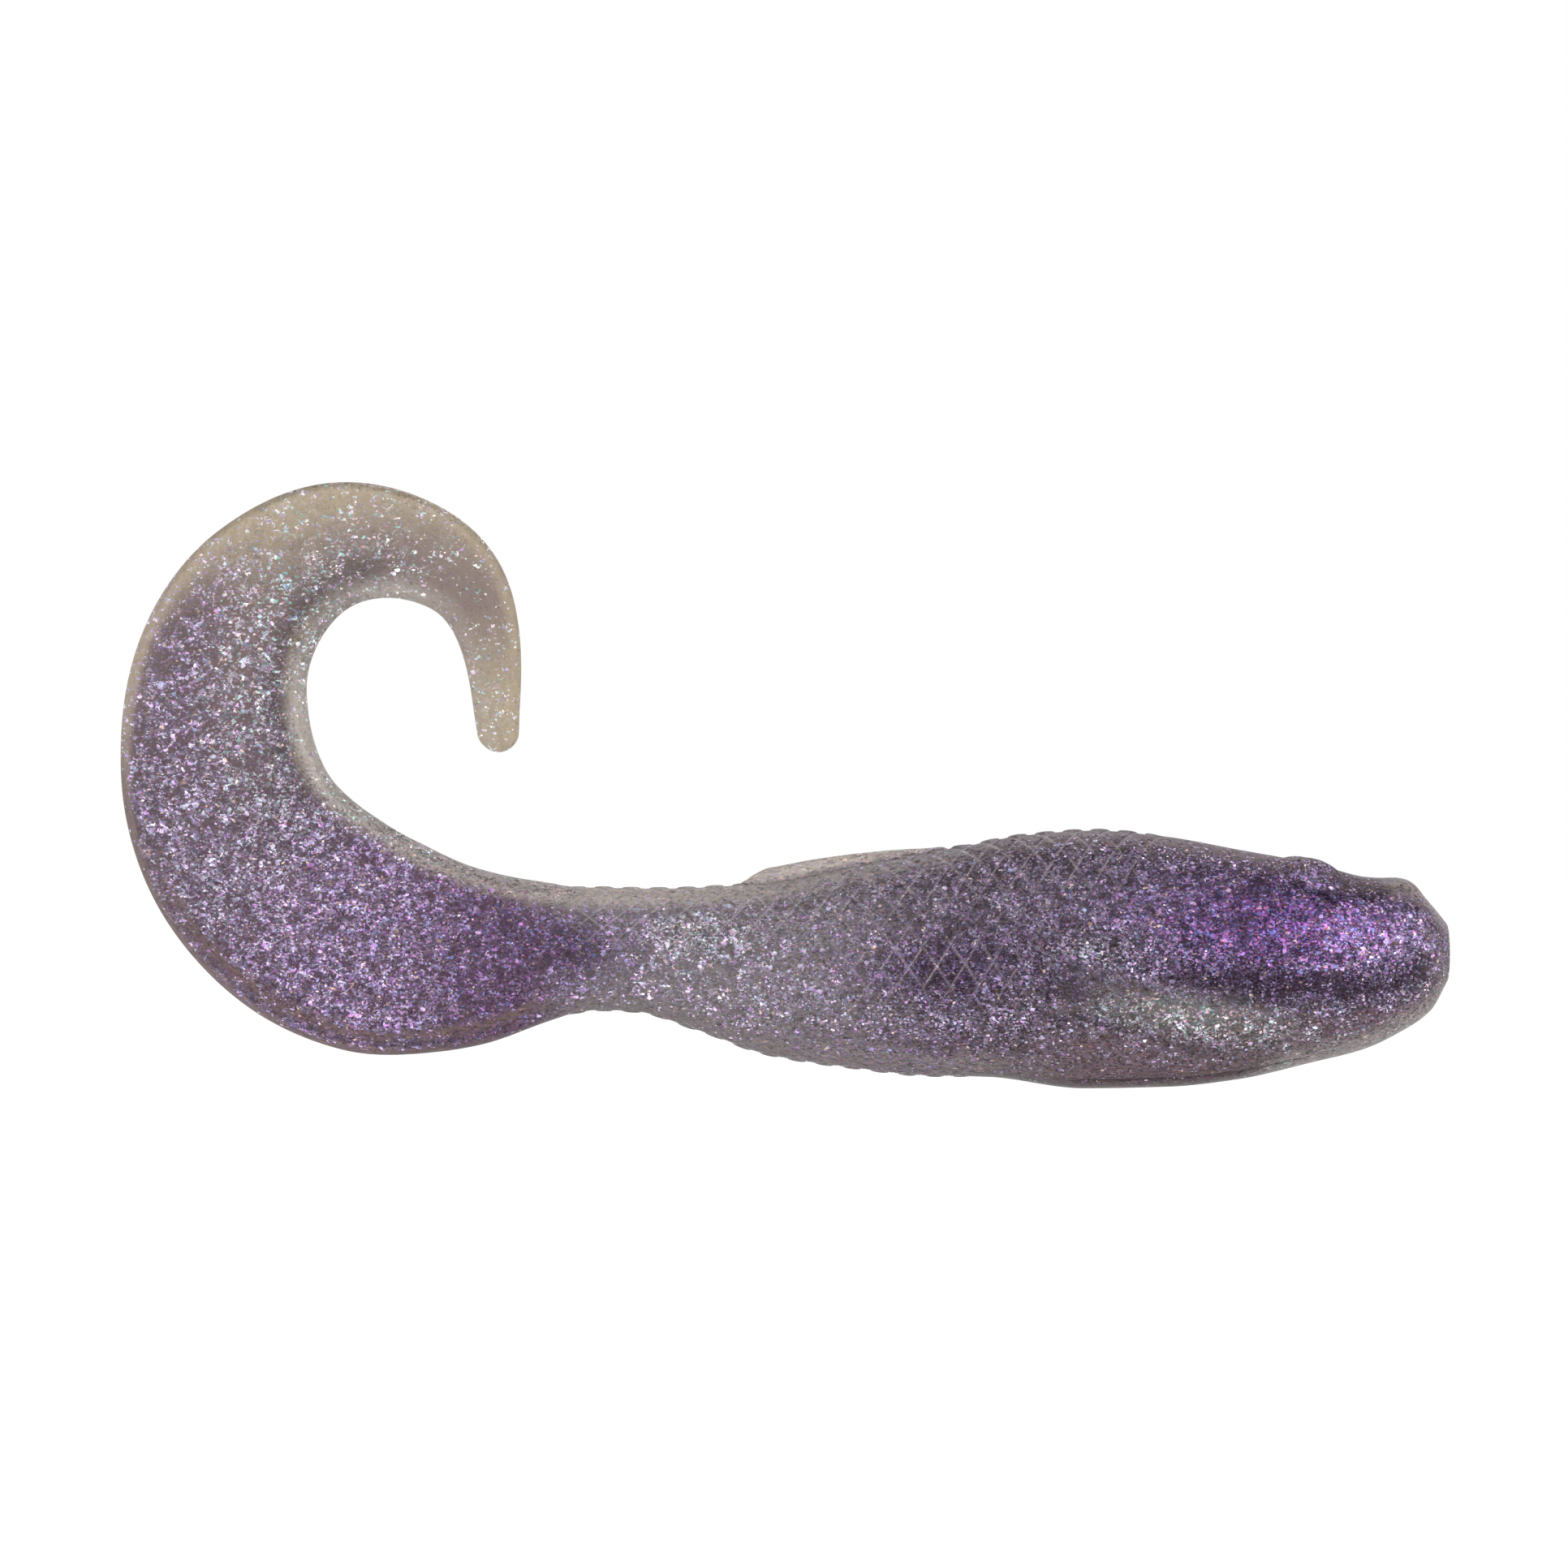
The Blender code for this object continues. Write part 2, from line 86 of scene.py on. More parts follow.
CURL = [  # the tail's middle line, as shares of how far back and how far up it runs
    (0.0, 0.0), (0.27, -0.016), (0.535, 0.022), (0.75, 0.116), (0.912, 0.272), (0.996, 0.50),
    (0.982, 0.713), (0.876, 0.884), (0.69, 0.992), (0.459, 0.996), (0.294, 0.905), (0.222, 0.754),
    (0.206, 0.62), (0.203, 0.49),
]
TAPER = [  # the blade's width
    (0.0, 0.55), (0.04, 0.64), (0.092, 0.775), (0.185, 0.955), (0.26, 1.0), (0.33, 0.98),
    (0.40, 0.93), (0.46, 0.855), (0.53, 0.77), (0.607, 0.676), (0.70, 0.53), (0.80, 0.40),
    (0.88, 0.275), (0.942, 0.212), (1.0, 0.165),
]
# The power of the sine that the body's section follows: the lower, the squarer
BOXINESS = [(0.0, 0.60), (0.2, 0.72), (0.5, 0.85), (0.85, 0.85), (1.0, 0.70)]

# How fine the skin is
HALF_RING = 160  # steps from belly to back on one side
NOSE_RINGS = 12  # inside the nose face's rim
SECTION_SAMPLES = 500  # points on which a section's length is measured


def law(points):
    """A smooth function of an array through the points that never swings past them."""
    at, value = np.array(points, float).T
    step = np.diff(at)
    rise = np.diff(value) / step
    slope = np.concatenate(([rise[0]], np.zeros(len(at) - 2), [rise[-1]]))
    for i in range(1, len(at) - 1):
        if rise[i - 1] * rise[i] > 0:
            before = 2 * step[i] + step[i - 1]
            after = step[i] + 2 * step[i - 1]
            slope[i] = (before + after) / (before / rise[i - 1] + after / rise[i])

    def follow(x):
        x = np.asarray(x, float)
        i = np.clip(np.searchsorted(at, x) - 1, 0, len(step) - 1)
        t = np.clip((x - at[i]) / step[i], 0.0, 1.0)
        bend = t * t * (3 - 2 * t)
        lift = step[i] * (slope[i] * t * (1 - t) ** 2 - slope[i + 1] * t * t * (1 - t))
        return value[i] + (value[i + 1] - value[i]) * bend + lift

    return follow


def smooth_curve(points, start_direction, samples=6000):
    """A curve of even bend through the points, with its distances."""
    points = np.array(points, float)
    t = np.concatenate(([0.0], np.cumsum(np.linalg.norm(np.diff(points, axis=0), axis=1))))
    n = len(t)
    step = np.diff(t)
    matrix = np.zeros((n, n))
    right = np.zeros((n, 2))
    matrix[0, 0] = 1.0
    right[0] = start_direction
    matrix[-1, -2:] = (1.0, 2.0)
    right[-1] = 3 * (points[-1] - points[-2]) / step[-1]
    for i in range(1, n - 1):
        matrix[i, i - 1 : i + 2] = (step[i], 2 * (step[i - 1] + step[i]), step[i - 1])
        right[i] = 3 * (
            step[i] * (points[i] - points[i - 1]) / step[i - 1]
            + step[i - 1] * (points[i + 1] - points[i]) / step[i]
        )
    slope = np.linalg.solve(matrix, right)
    at = np.linspace(0.0, t[-1], samples)
    i = np.clip(np.searchsorted(t, at) - 1, 0, n - 2)
    h = step[i][:, None]
    u = ((at - t[i]) / step[i])[:, None]
    bend = u * u * (3 - 2 * u)
    lift = h * (slope[i] * u * (1 - u) ** 2 - slope[i + 1] * u * u * (1 - u))
    curve = points[i] + (points[i + 1] - points[i]) * bend + lift
    along = np.concatenate(([0.0], np.cumsum(np.linalg.norm(np.diff(curve, axis=0), axis=1))))
    return along, curve


def ease(x, low, high):
    """0 before low, 1 after high, smooth between."""
    t = np.clip((x - low) / (high - low), 0.0, 1.0)
    return t * t * (3 - 2 * t)


def bell(x, middle, width):
    """1 at the middle, falling smoothly to nothing on both sides."""
    return np.exp(-(((x - middle) / width) ** 2))


def blob(s, z, centre, size, tilt=0.0):
    """A soft spot on the lure's side, seen from the side, with s back from the nose and z up."""
    ds, dz = s - centre[0], z - centre[1]
    a = ds * np.cos(tilt) + dz * np.sin(tilt)
    b = -ds * np.sin(tilt) + dz * np.cos(tilt)
    return np.exp(-((a / size[0]) ** 2) - (b / size[1]) ** 2)


# --- The middle line -------------------------------------------------------------------------

curl_points = [(-BODY_LENGTH - TAIL_BACK * back, TAIL_UP * up) for back, up in CURL]
CURL_ALONG, CURL_LINE = smooth_curve(curl_points, (-1.0, 0.0))
TAIL_LENGTH = CURL_ALONG[-1]
LURE_LENGTH = BODY_LENGTH + TAIL_LENGTH


def middle(s):
    """Points (x, z) of the middle line at the distances s from the nose."""
    along = np.maximum(np.asarray(s, float) - BODY_LENGTH, 0.0)
    line = np.stack([np.interp(along, CURL_ALONG, CURL_LINE[:, i]) for i in (0, 1)], -1)
    straight = np.stack([-np.asarray(s, float), np.zeros_like(along)], -1)
    return np.where((np.asarray(s) <= BODY_LENGTH)[..., None], straight, line)


def direction(s):
    """The way the middle line runs at s, away from the nose."""
    reach = 0.25
    low = middle(np.maximum(s - reach, 0.0))
    high = middle(np.minimum(s + reach, LURE_LENGTH))
    return (high - low) / np.linalg.norm(high - low, axis=-1, keepdims=True)


# --- Sections --------------------------------------------------------------------------------

back_law, belly_law, flank_law = law(BACK), law(BELLY), law(FLANK)
taper_law, boxiness_law = law(TAPER), law(BOXINESS)
# Half the blade's thickness, and how far its inner and outer beads stand up, along the tail
plate_law = law([(0.0, 2.55), (0.05, 1.9), (0.14, 1.2), (0.35, 0.95), (0.7, 0.85), (1.0, 0.75)])
inner_bead_law = law([
    (0.0, 0.1), (0.08, 0.5), (0.3, 0.55), (0.55, 0.45), (0.75, 0.2), (0.9, 0.05), (1.0, 0.0),
])
outer_bead_law = law([(0.0, 0.1), (0.06, 0.42), (0.3, 0.3), (0.5, 0.14), (0.8, 0.08), (1.0, 0.0)])
# The fin's height over the back
fin_law = law([
    (0.0, 0.0), (0.15, 0.40), (0.35, 0.90), (0.55, 1.20), (0.75, 1.42), (0.87, 1.38), (0.95, 0.8),
    (1.0, 0.0),
])
FIN_START, FIN_END, FIN_HALF = 46.0, 67.6, 0.62
# What the soft moulding adds to the CAD model's outlines: belly and back by s, blade edges by share
belly_trim = law([
    (0.0, 0.3), (6.0, 0.22), (15.0, 0.06), (36.0, 0.24), (44.0, 0.06), (52.0, 0.1), (66.0, 0.36),
    (73.0, 0.4), (80.0, 0.14), (84.0, 0.06),
])
back_trim = law([(0.0, 0.1), (8.0, -0.08), (17.0, -0.16), (30.0, 0.05), (70.0, 0.1), (84.0, -0.04)])
outer_trim = law([
    (0.0, 0.06), (0.06, -0.08), (0.12, 0.0), (0.19, 0.45), (0.3, 0.08), (0.42, -0.2),
    (0.62, -0.22), (0.7, 0.2), (0.78, -0.08), (1.0, -0.15),
])
inner_trim = law([
    (0.0, -0.04), (0.06, 0.05), (0.17, -0.34), (0.3, -0.5), (0.39, -0.78), (0.5, -0.32),
    (0.65, -0.1), (0.82, 0.16), (1.0, 0.2),
])
TIP_ROOM = 4.0  # the trims fade out over this length at the tip
ROOT_SHARE = 0.1  # of the tail, over which the blade comes to lie evenly about the middle line
LEAN_IN_START = 0.75  # share of the body from which its flanks lean in to the blade's root
BLADE_START, BLADE_FULL = BODY_LENGTH - 5.0, BODY_LENGTH + 7.0  # body section to blade section
LAST_RING = LURE_LENGTH - 0.01


def edges(s):
    """How far the lower and the upper edge lie from the middle line."""
    s = np.asarray(s, float)
    share = np.clip(s / BODY_LENGTH, 0.0, 1.0)
    tail = np.clip((s - BODY_LENGTH) / TAIL_LENGTH, 0.0, 1.0)
    half = BLADE_WIDTH / 2 * taper_law(tail)
    short = np.clip((TIP_RADIUS - (LURE_LENGTH - s)) / TIP_RADIUS, 0.0, 1.0)
    half = half * np.sqrt(1 - short**2)
    offset = BODY_DEPTH * (BACK[-1][1] - BELLY[-1][1]) / 2 * (1 - np.clip(tail / ROOT_SHARE, 0.0, 1.0))
    on_body = s <= BODY_LENGTH
    low = np.where(on_body, -BODY_DEPTH * belly_law(share), offset - half)
    high = np.where(on_body, BODY_DEPTH * back_law(share), offset + half)
    room = np.clip((LURE_LENGTH - s) / TIP_ROOM, 0.0, 1.0)
    low = low - np.where(on_body, belly_trim(s), outer_trim(tail) * room)
    high = high + np.where(on_body, back_trim(s), inner_trim(tail) * room)
    return low, high


def rounded(d, radius):
    """The height of a round edge of that radius at the distance d inside it, as a share."""
    t = 1 - np.clip(d / radius, 0.0, 1.0)
    return np.sqrt(np.maximum(1 - t * t, 0.0))


def body_section(s, u):
    """Half the body's thickness at the shares u of the way from the belly round to the back."""
    share = np.clip(s / BODY_LENGTH, 0.0, 1.0)
    lean_in = np.clip((share - LEAN_IN_START) / (1 - LEAN_IN_START), 0.0, 1.0)
    half = BODY_WIDTH / 2 * flank_law(share)
    half = half + (ROOT_THICKNESS / 2 - BODY_WIDTH / 2 * FLANK[-1][1]) * lean_in
    return half * np.maximum(np.sin(np.pi * u), 0.0) ** boxiness_law(share)


def blade_section(s, inner, outer):
    """Half the blade's thickness, given the distances from its inner and its outer edge."""
    tail = np.clip((s - BODY_LENGTH) / TAIL_LENGTH, 0.0, 1.0)
    plate = plate_law(tail)
    # a bead along each edge, with a shallow groove beside it
    beads = inner_bead_law(tail) * (bell(inner, 1.0, 0.75) - 0.28 * bell(inner, 2.5, 0.7))
    beads = beads + outer_bead_law(tail) * (bell(outer, 0.62, 0.42) - 0.55 * bell(outer, 1.7, 0.6))
    width = inner + outer
    radius = np.minimum(plate + 0.2, width / 2 + 1e-6)
    belly = 1 + 0.12 * (1 - ((inner - outer) / (width + 1e-6)) ** 2)
    return (plate * belly + beads) * rounded(np.minimum(inner, outer), radius)


def run_along(w, h):
    """The distance along each section at each of its points."""
    steps = np.hypot(np.diff(w, axis=1), np.diff(h, axis=1))
    return np.concatenate([np.zeros((len(w), 1)), np.cumsum(steps, axis=1)], axis=1)


def sections(s):
    """Rings of the skin's one side at the distances s. Each is HALF_RING + 1 points from the lower
    edge to the upper one, evenly apart: their w along the section, their half thickness, and how
    far round the ring they lie, from 0 at the back to 1 at the belly, with the fin left out."""
    u = np.linspace(0.0, 1.0, SECTION_SAMPLES)[None, :]
    station = s[:, None]
    low, high = (e[:, None] for e in edges(s))
    w = low + (high - low) * (1 - np.cos(np.pi * u)) / 2
    flat = ease(station, BLADE_START, BLADE_FULL)
    h = (1 - flat) * body_section(station, u) + flat * blade_section(station, high - w, w - low)
    bare = run_along(w, h)
    round_it = 1 - bare / bare[:, -1:]
    # the fin rises out of the top of the back
    fin_share = np.clip((station - FIN_START) / (FIN_END - FIN_START), 0.0, 1.0)
    tall = fin_law(fin_share) * (u > 0.5)
    side = np.clip(h / FIN_HALF, 0.0, 1.6)
    w = w + tall * (1 - ease(side, 0.55, 1.6)) * np.sqrt(np.maximum(1 - 0.3 * side**2, 0.0))
    length = run_along(w, h)
    even = np.linspace(0.0, 1.0, HALF_RING + 1)
    ring_w, ring_h, ring_round = (np.empty((len(s), HALF_RING + 1)) for _ in range(3))
    for i in range(len(s)):
        at = even * length[i, -1]
        ring_w[i] = np.interp(at, length[i], w[i])
        ring_h[i] = np.interp(at, length[i], h[i])
        ring_round[i] = np.interp(at, length[i], round_it[i])
    ring_h[:, 0] = ring_h[:, -1] = 0.0
    return ring_w, ring_h, ring_round


def stations():
    """Distances of the rings from the nose: close where the detail is fine."""
    round_tip = LURE_LENGTH - 2.2
    spans = [
        (0.0, 1.6, 0.08), (1.6, 26.0, 0.18), (26.0, 87.0, 0.14), (87.0, round_tip, 0.24),
        (round_tip, LAST_RING, 0.07),
    ]
    rows = [np.linspace(a, b, round((b - a) / step), endpoint=False) for a, b, step in spans]
    return np.concatenate([*rows, [LAST_RING]])


# --- Moulded relief --------------------------------------------------------------------------

SCALE_PITCH = 2.65  # between scales along the back
SCALE_ROWS = 7.0  # scales from the back to the belly
GILL_END = 38.6
# Lines on the head's side, as heights by s: the valley under the cheek, the gill's lower edge
valley_line = law([
    (0.0, -0.6), (3.0, -2.0), (10.0, -3.5), (16.6, -4.1), (26.4, -3.1), (36.0, -0.6), (42.0, 0.4),
])
crease_line = law([
    (8.0, -9.6), (16.0, -10.35), (20.5, -10.0), (26.4, -8.9), (29.6, -7.8), (34.5, -6.6),
    (38.6, -6.3), (42.0, -6.3),
])
# Where the scales begin, as s by height
scale_front = law([
    (-13.0, 46.0), (-9.0, 43.0), (-6.0, 40.5), (-2.2, 38.6), (2.0, 34.5), (5.6, 31.0), (9.0, 27.5),
    (13.0, 26.5),
])
# Raised and sunk spots: middle as (s, z), size and tilt
NOSTRIL = ((4.4, 6.0), (1.35, 1.0), -0.2)
CHEEK_SWELL = ((9.0, 1.4), (9.0, 3.2), -0.05)
BROW_HOLLOW = ((9.5, 5.6), (6.5, 1.0), 0.12)
GILL_PIT = ((39.6, -4.0), (0.8, 2.4))
# How far each kind of relief stands out or sinks in
EDGE_BUMPS, EYE_HEIGHT, NOSTRIL_HEIGHT, CHEEK_HEIGHT, GILL_HEIGHT = 0.24, 1.15, 0.45, 0.45, 0.60
VALLEY_DEPTH, HOLLOW_DEPTH, CREASE_DEPTH, PIT_DEPTH, GROOVE_DEPTH = 0.50, 0.25, 0.22, 0.30, 0.22


def scale_share(s, z):
    """1 where the skin has scales, 0 on the smooth head and the blade."""
    start = scale_front(np.clip(z, -13.0, 13.0))
    return ease(s, start, start + 2.0) * (1 - ease(s, 81.5, 85.5))


def scale_lines(s, round_it):
    """Distances from the two sets of slanting grooves between scales, as shares of a scale."""
    along = s / SCALE_PITCH
    around = round_it * SCALE_ROWS
    first, second = along + around, along - around
    return np.abs(first - np.round(first)), np.abs(second - np.round(second))


def gill_share(s, z):
    """1 on the raised gill cover: blunt at its rear, sharp below, fading upwards and forwards."""
    end = GILL_END - 0.03 * (z + 4.4) ** 2
    rear = 1 - ease(s, end - 0.35, end + 0.25)
    below = ease(z, crease_line(s) - 0.1, crease_line(s) + 0.7)
    above = 1 - ease(z, valley_line(s) - 2.4, valley_line(s) + 0.6)
    return rear * below * above * ease(s, 14.0, 36.0)


def groove_share(s, z):
    """1 in the fine groove just above the belly edge."""
    line = bell(z, edges(s)[0] + 0.95, 0.11)
    return line * ease(s, 13.0, 16.0) * (1 - ease(s, 34.5, 37.0))


def dome(s, round_it):
    """The long eye dome, high on the side of the head, with a fine groove round it."""
    a = (s - 13.0) / 2.95
    b = (round_it - 0.150 + 0.004 * (s - 13.0)) / 0.074
    r2 = a * a + b * b
    return np.maximum(1 - r2, 0.0) ** 0.75 - 0.10 * np.exp(-(((np.sqrt(r2) - 1.12) / 0.13) ** 2))


def relief(s, z, round_it):
    """How far the skin stands out from its plain section at each point."""
    first, second = scale_lines(s, round_it)
    pillow = np.minimum(1.0, first / 0.2) ** 0.7 * np.minimum(1.0, second / 0.2) ** 0.7
    edge = np.abs(2 * round_it - 1) ** 4
    below_fin = 1 - ease(z, edges(s)[1] + 0.1, edges(s)[1] + 0.5)
    scaly = scale_share(s, z) * below_fin
    bumps = np.abs(np.sin(np.pi * s / SCALE_PITCH)) ** 0.6 - 0.7
    valley = bell(z, valley_line(s), 1.3) * (1 - ease(s, 30.0, 40.0)) * ease(s, 0.5, 5.0)
    crease = bell(z, crease_line(s) - 0.3, 0.45) * ease(s, 18, 27) * (1 - ease(s, 37, 39))
    out = scaly * (0.07 + 0.12 * edge) * (pillow - 0.65)
    out = out + EDGE_BUMPS * scaly * bumps * ease(edge, 0.55, 0.9)
    out = out + EYE_HEIGHT * dome(s, round_it)
    out = out + NOSTRIL_HEIGHT * blob(s, z, *NOSTRIL)
    out = out + CHEEK_HEIGHT * blob(s, z, *CHEEK_SWELL) * ease(s, 0.3, 3.5)
    out = out + GILL_HEIGHT * gill_share(s, z)
    out = out - VALLEY_DEPTH * valley - CREASE_DEPTH * crease
    out = out - HOLLOW_DEPTH * blob(s, z, *BROW_HOLLOW)
    out = out - PIT_DEPTH * blob(s, z, *GILL_PIT)
    return out - GROOVE_DEPTH * groove_share(s, z)


# --- Paint -----------------------------------------------------------------------------------

# The width of the blade's clear outer margin, by the share of the tail
margin_law = law([
    (0.0, 0.6), (0.45, 0.8), (0.53, 1.3), (0.60, 3.2), (0.67, 5.2), (0.75, 6.2), (1.0, 6.2),
])

SMOKE = np.array((0.150, 0.120, 0.112))  # clear smoky plastic, some way thick
GREY = np.array((0.245, 0.222, 0.215))  # the same with fine silver dust in it
PLUM = np.array((0.034, 0.014, 0.030))  # the deep middle, seen between flakes
BEIGE = np.array((0.420, 0.345, 0.245))  # thin plastic with light coming through
PALE = np.array((0.47, 0.42, 0.375))  # the thinnest edges
CHIN_ROSE = np.array((0.165, 0.105, 0.118))
BELLY_ROSE = np.array((0.175, 0.118, 0.124))
BACK_MAUVE = np.array((0.195, 0.150, 0.158))
NOSE_MAUVE = np.array((0.20, 0.15, 0.155))
BLADE_PLUM = np.array((0.125, 0.075, 0.098))
ROOT_PLUM = np.array((0.085, 0.045, 0.078))
OUTER_BROWN = np.array((0.125, 0.088, 0.092))
# the painted shade in the grooves along the blade's outer edge
EDGE_SHADE_BROWN = np.array((0.15, 0.105, 0.098))
TIP_DUSK = np.array((0.205, 0.155, 0.150))
# the painted highlight in the grooves between scales
SCALE_LINE_HIGHLIGHT = np.array((0.42, 0.37, 0.40))

# Soft spots on the body's side: middle as (s, z), size and tilt
# painted highlight: the cheek faces the key lamp, so its flakes are painted brighter there
CHEEK_HIGHLIGHT = ((8.4, 1.9), (6.0, 2.9), -0.05)
# painted shade in the hollow under the eye dome, where the flakes are also less violet
BROW = ((8.5, 5.9), (8.5, 1.2), 0.10)
EYE = ((13.0, 7.7), (2.6, 1.2))
VIOLET_ZONE = ((17.0, 2.8), (17.0, 6.2), -0.05)
PLATE = ((25.0, -5.9), (10.0, 2.1), 0.17)
PLATE_REAR = ((34.5, -4.4), (4.5, 1.8), 0.10)
# painted shade under the cheek's bulge, where the flakes are painted dimmer
UNDER_CHEEK_SHADE = ((20.0, -1.3), (6.0, 1.6))
SHOULDER = ((33.0, 0.4), (6.0, 2.2))
DUSK = ((47.5, -1.6), (10.0, 3.8))
DUSK_FRONT = ((36.2, -3.6), (2.2, 1.2), 0.1)
WRIST = ((85.0, 0.2), (6.6, 3.3))
STEM = ((72.0, 1.6), (6.8, 2.4))
BRIGHT_SCALES = ((50.0, -1.0), (10.0, 2.8))


def mix(a, b, t):
    """The colours a, turned into b by the shares t."""
    return a + (b - a) * np.asarray(t)[..., None]


def paint_body(s, z):
    """The body's plastic colour, and its flakes' cover, violet share, brightness and coarseness, with
    painted shade and a painted highlight in them.
    """
    low, high = edges(s)
    over, under = high - z, z - low
    slim = ease(s, 50.0, 76.0)
    # painted shade in the valley under the cheek: more of the dark middle shows, and the flakes are
    # fewer and dimmer
    valley = bell(z, valley_line(s) + 0.4, 1.6) * (1 - ease(s, 22.0, 32.0)) * ease(s, 0.0, 3.0)
    cheek, brow, eye = blob(s, z, *CHEEK_HIGHLIGHT), blob(s, z, *BROW), blob(s, z, *EYE)
    violet_zone = blob(s, z, *VIOLET_ZONE)
    plate, plate_rear = blob(s, z, *PLATE), blob(s, z, *PLATE_REAR)
    jaw = (1 - ease(under, 0.8, 3.4 - 0.04 * s)) * (1 - ease(s, 15.0, 22.0))
    chin = ease(valley_line(s) - 1.4 - z, 0.0, 2.0) * (1 - ease(s, 14.0, 22.0))
    belly = ease(-z, 6.0, 9.0) * ease(s, 16.0, 24.0)
    dusk = blob(s, z, *DUSK) + 0.9 * blob(s, z, *DUSK_FRONT)
    wrist, stem = blob(s, z, *WRIST), blob(s, z, *STEM)
    back = (1 - ease(over, 0.8, 2.6)) * ease(s, 20.0, 30.0)
    thin = ease(s, 46.0, 60.0) * (1 - 0.8 * np.clip(dusk + wrist, 0, 1))
    low_rim = bell(s, 47.0, 8.0) * (1 - ease(under, 1.2, 3.4))
    rosy_belly = belly * (1 - slim) * (1 - 0.8 * ease(s, 36.0, 43.0)) * ease(under, 0.3, 1.0)

    edge_in = ease(over, 0.2, 2.6) * ease(under, 0.2, 4.0 - 1.5 * slim)
    deep = 0.42 + 0.5 * violet_zone + 0.5 * dusk + 1.0 * wrist + 0.8 * valley + 0.5 * brow
    deep = np.clip(deep + 0.3 * eye - 0.45 * plate - 0.15 * slim, 0.0, 1.0)
    base = mix(SMOKE, PLUM, deep * edge_in)
    base = mix(base, CHIN_ROSE, 0.85 * chin)
    base = mix(base, GREY * 1.30, 0.95 * jaw)
    base = mix(base, GREY * 1.1, 0.85 * plate)
    base = mix(base, BELLY_ROSE, 0.8 * rosy_belly)
    base = mix(base, GREY, 0.75 * thin * (1 - 0.6 * stem))
    base = mix(base, BACK_MAUVE, 0.9 * (1 - ease(over, 0.5, 2.4)) * ease(s, 6.0, 18.0))
    base = mix(base, GREY * 1.15, back * ease(s, 40.0, 54.0))
    base = mix(base, GREY * 1.25, 0.8 * low_rim)
    base = mix(base, PALE, slim * (1 - ease(over, 0.8, 2.6)))
    base = mix(base, NOSE_MAUVE, 0.8 * (1 - ease(s, 0.5, 4.0)) * (1 - 0.5 * jaw))
    base = mix(base, PALE * 0.9, 0.8 * (1 - ease(s, 4.0, 7.0)) * (1 - ease(over, 0.6, 2.6)))
    low_shade = (1 - ease(under, 0.1, 3.0)) * (1 - 0.4 * jaw) * (1 - thin)
    base = base * (0.92 - 0.30 * low_shade)[..., None]

    cover = 0.56 + 0.30 * violet_zone + 0.25 * stem + 0.38 * plate + 0.25 * wrist + 0.2 * eye
    cover = cover - 0.20 * belly - 0.25 * plate_rear - 0.20 * jaw - 0.22 * chin - 0.15 * brow
    cover = cover - 0.25 * valley - 0.10 * thin * (1 - stem)
    cover = cover * (0.20 + 0.80 * edge_in) * (1 - 0.35 * back)
    violet = 0.28 + 0.62 * violet_zone + 0.25 * dusk + 0.5 * wrist - 0.12 * (1 - ease(s, 1.5, 7.0))
    violet = violet - 0.20 * brow - 0.50 * plate - 0.35 * jaw - 0.22 * stem - 0.15 * eye
    violet = violet + 0.2 * belly * ease(s, 40.0, 50.0) - 0.30 * blob(s, z, *SHOULDER)
    # the flakes' brightness holds a painted highlight on the cheek, and painted shade in the valley,
    # under the cheek and in the brow hollow
    bright = 0.68 + 0.12 * thin + 0.78 * cheek + 0.50 * stem + 0.02 * plate + 0.3 * eye
    bright = bright - 0.08 * violet_zone - 0.25 * blob(s, z, *UNDER_CHEEK_SHADE) - 0.34 * valley
    bright = bright - 0.20 * brow - 0.36 * dusk - 0.54 * wrist - 0.16 * belly
    bright = bright - 0.15 * plate_rear - 0.12 * chin
    coarse = 0.25 + 0.50 * slim - 0.15 * jaw
    return base, np.stack(np.broadcast_arrays(cover, violet, bright, coarse), -1)


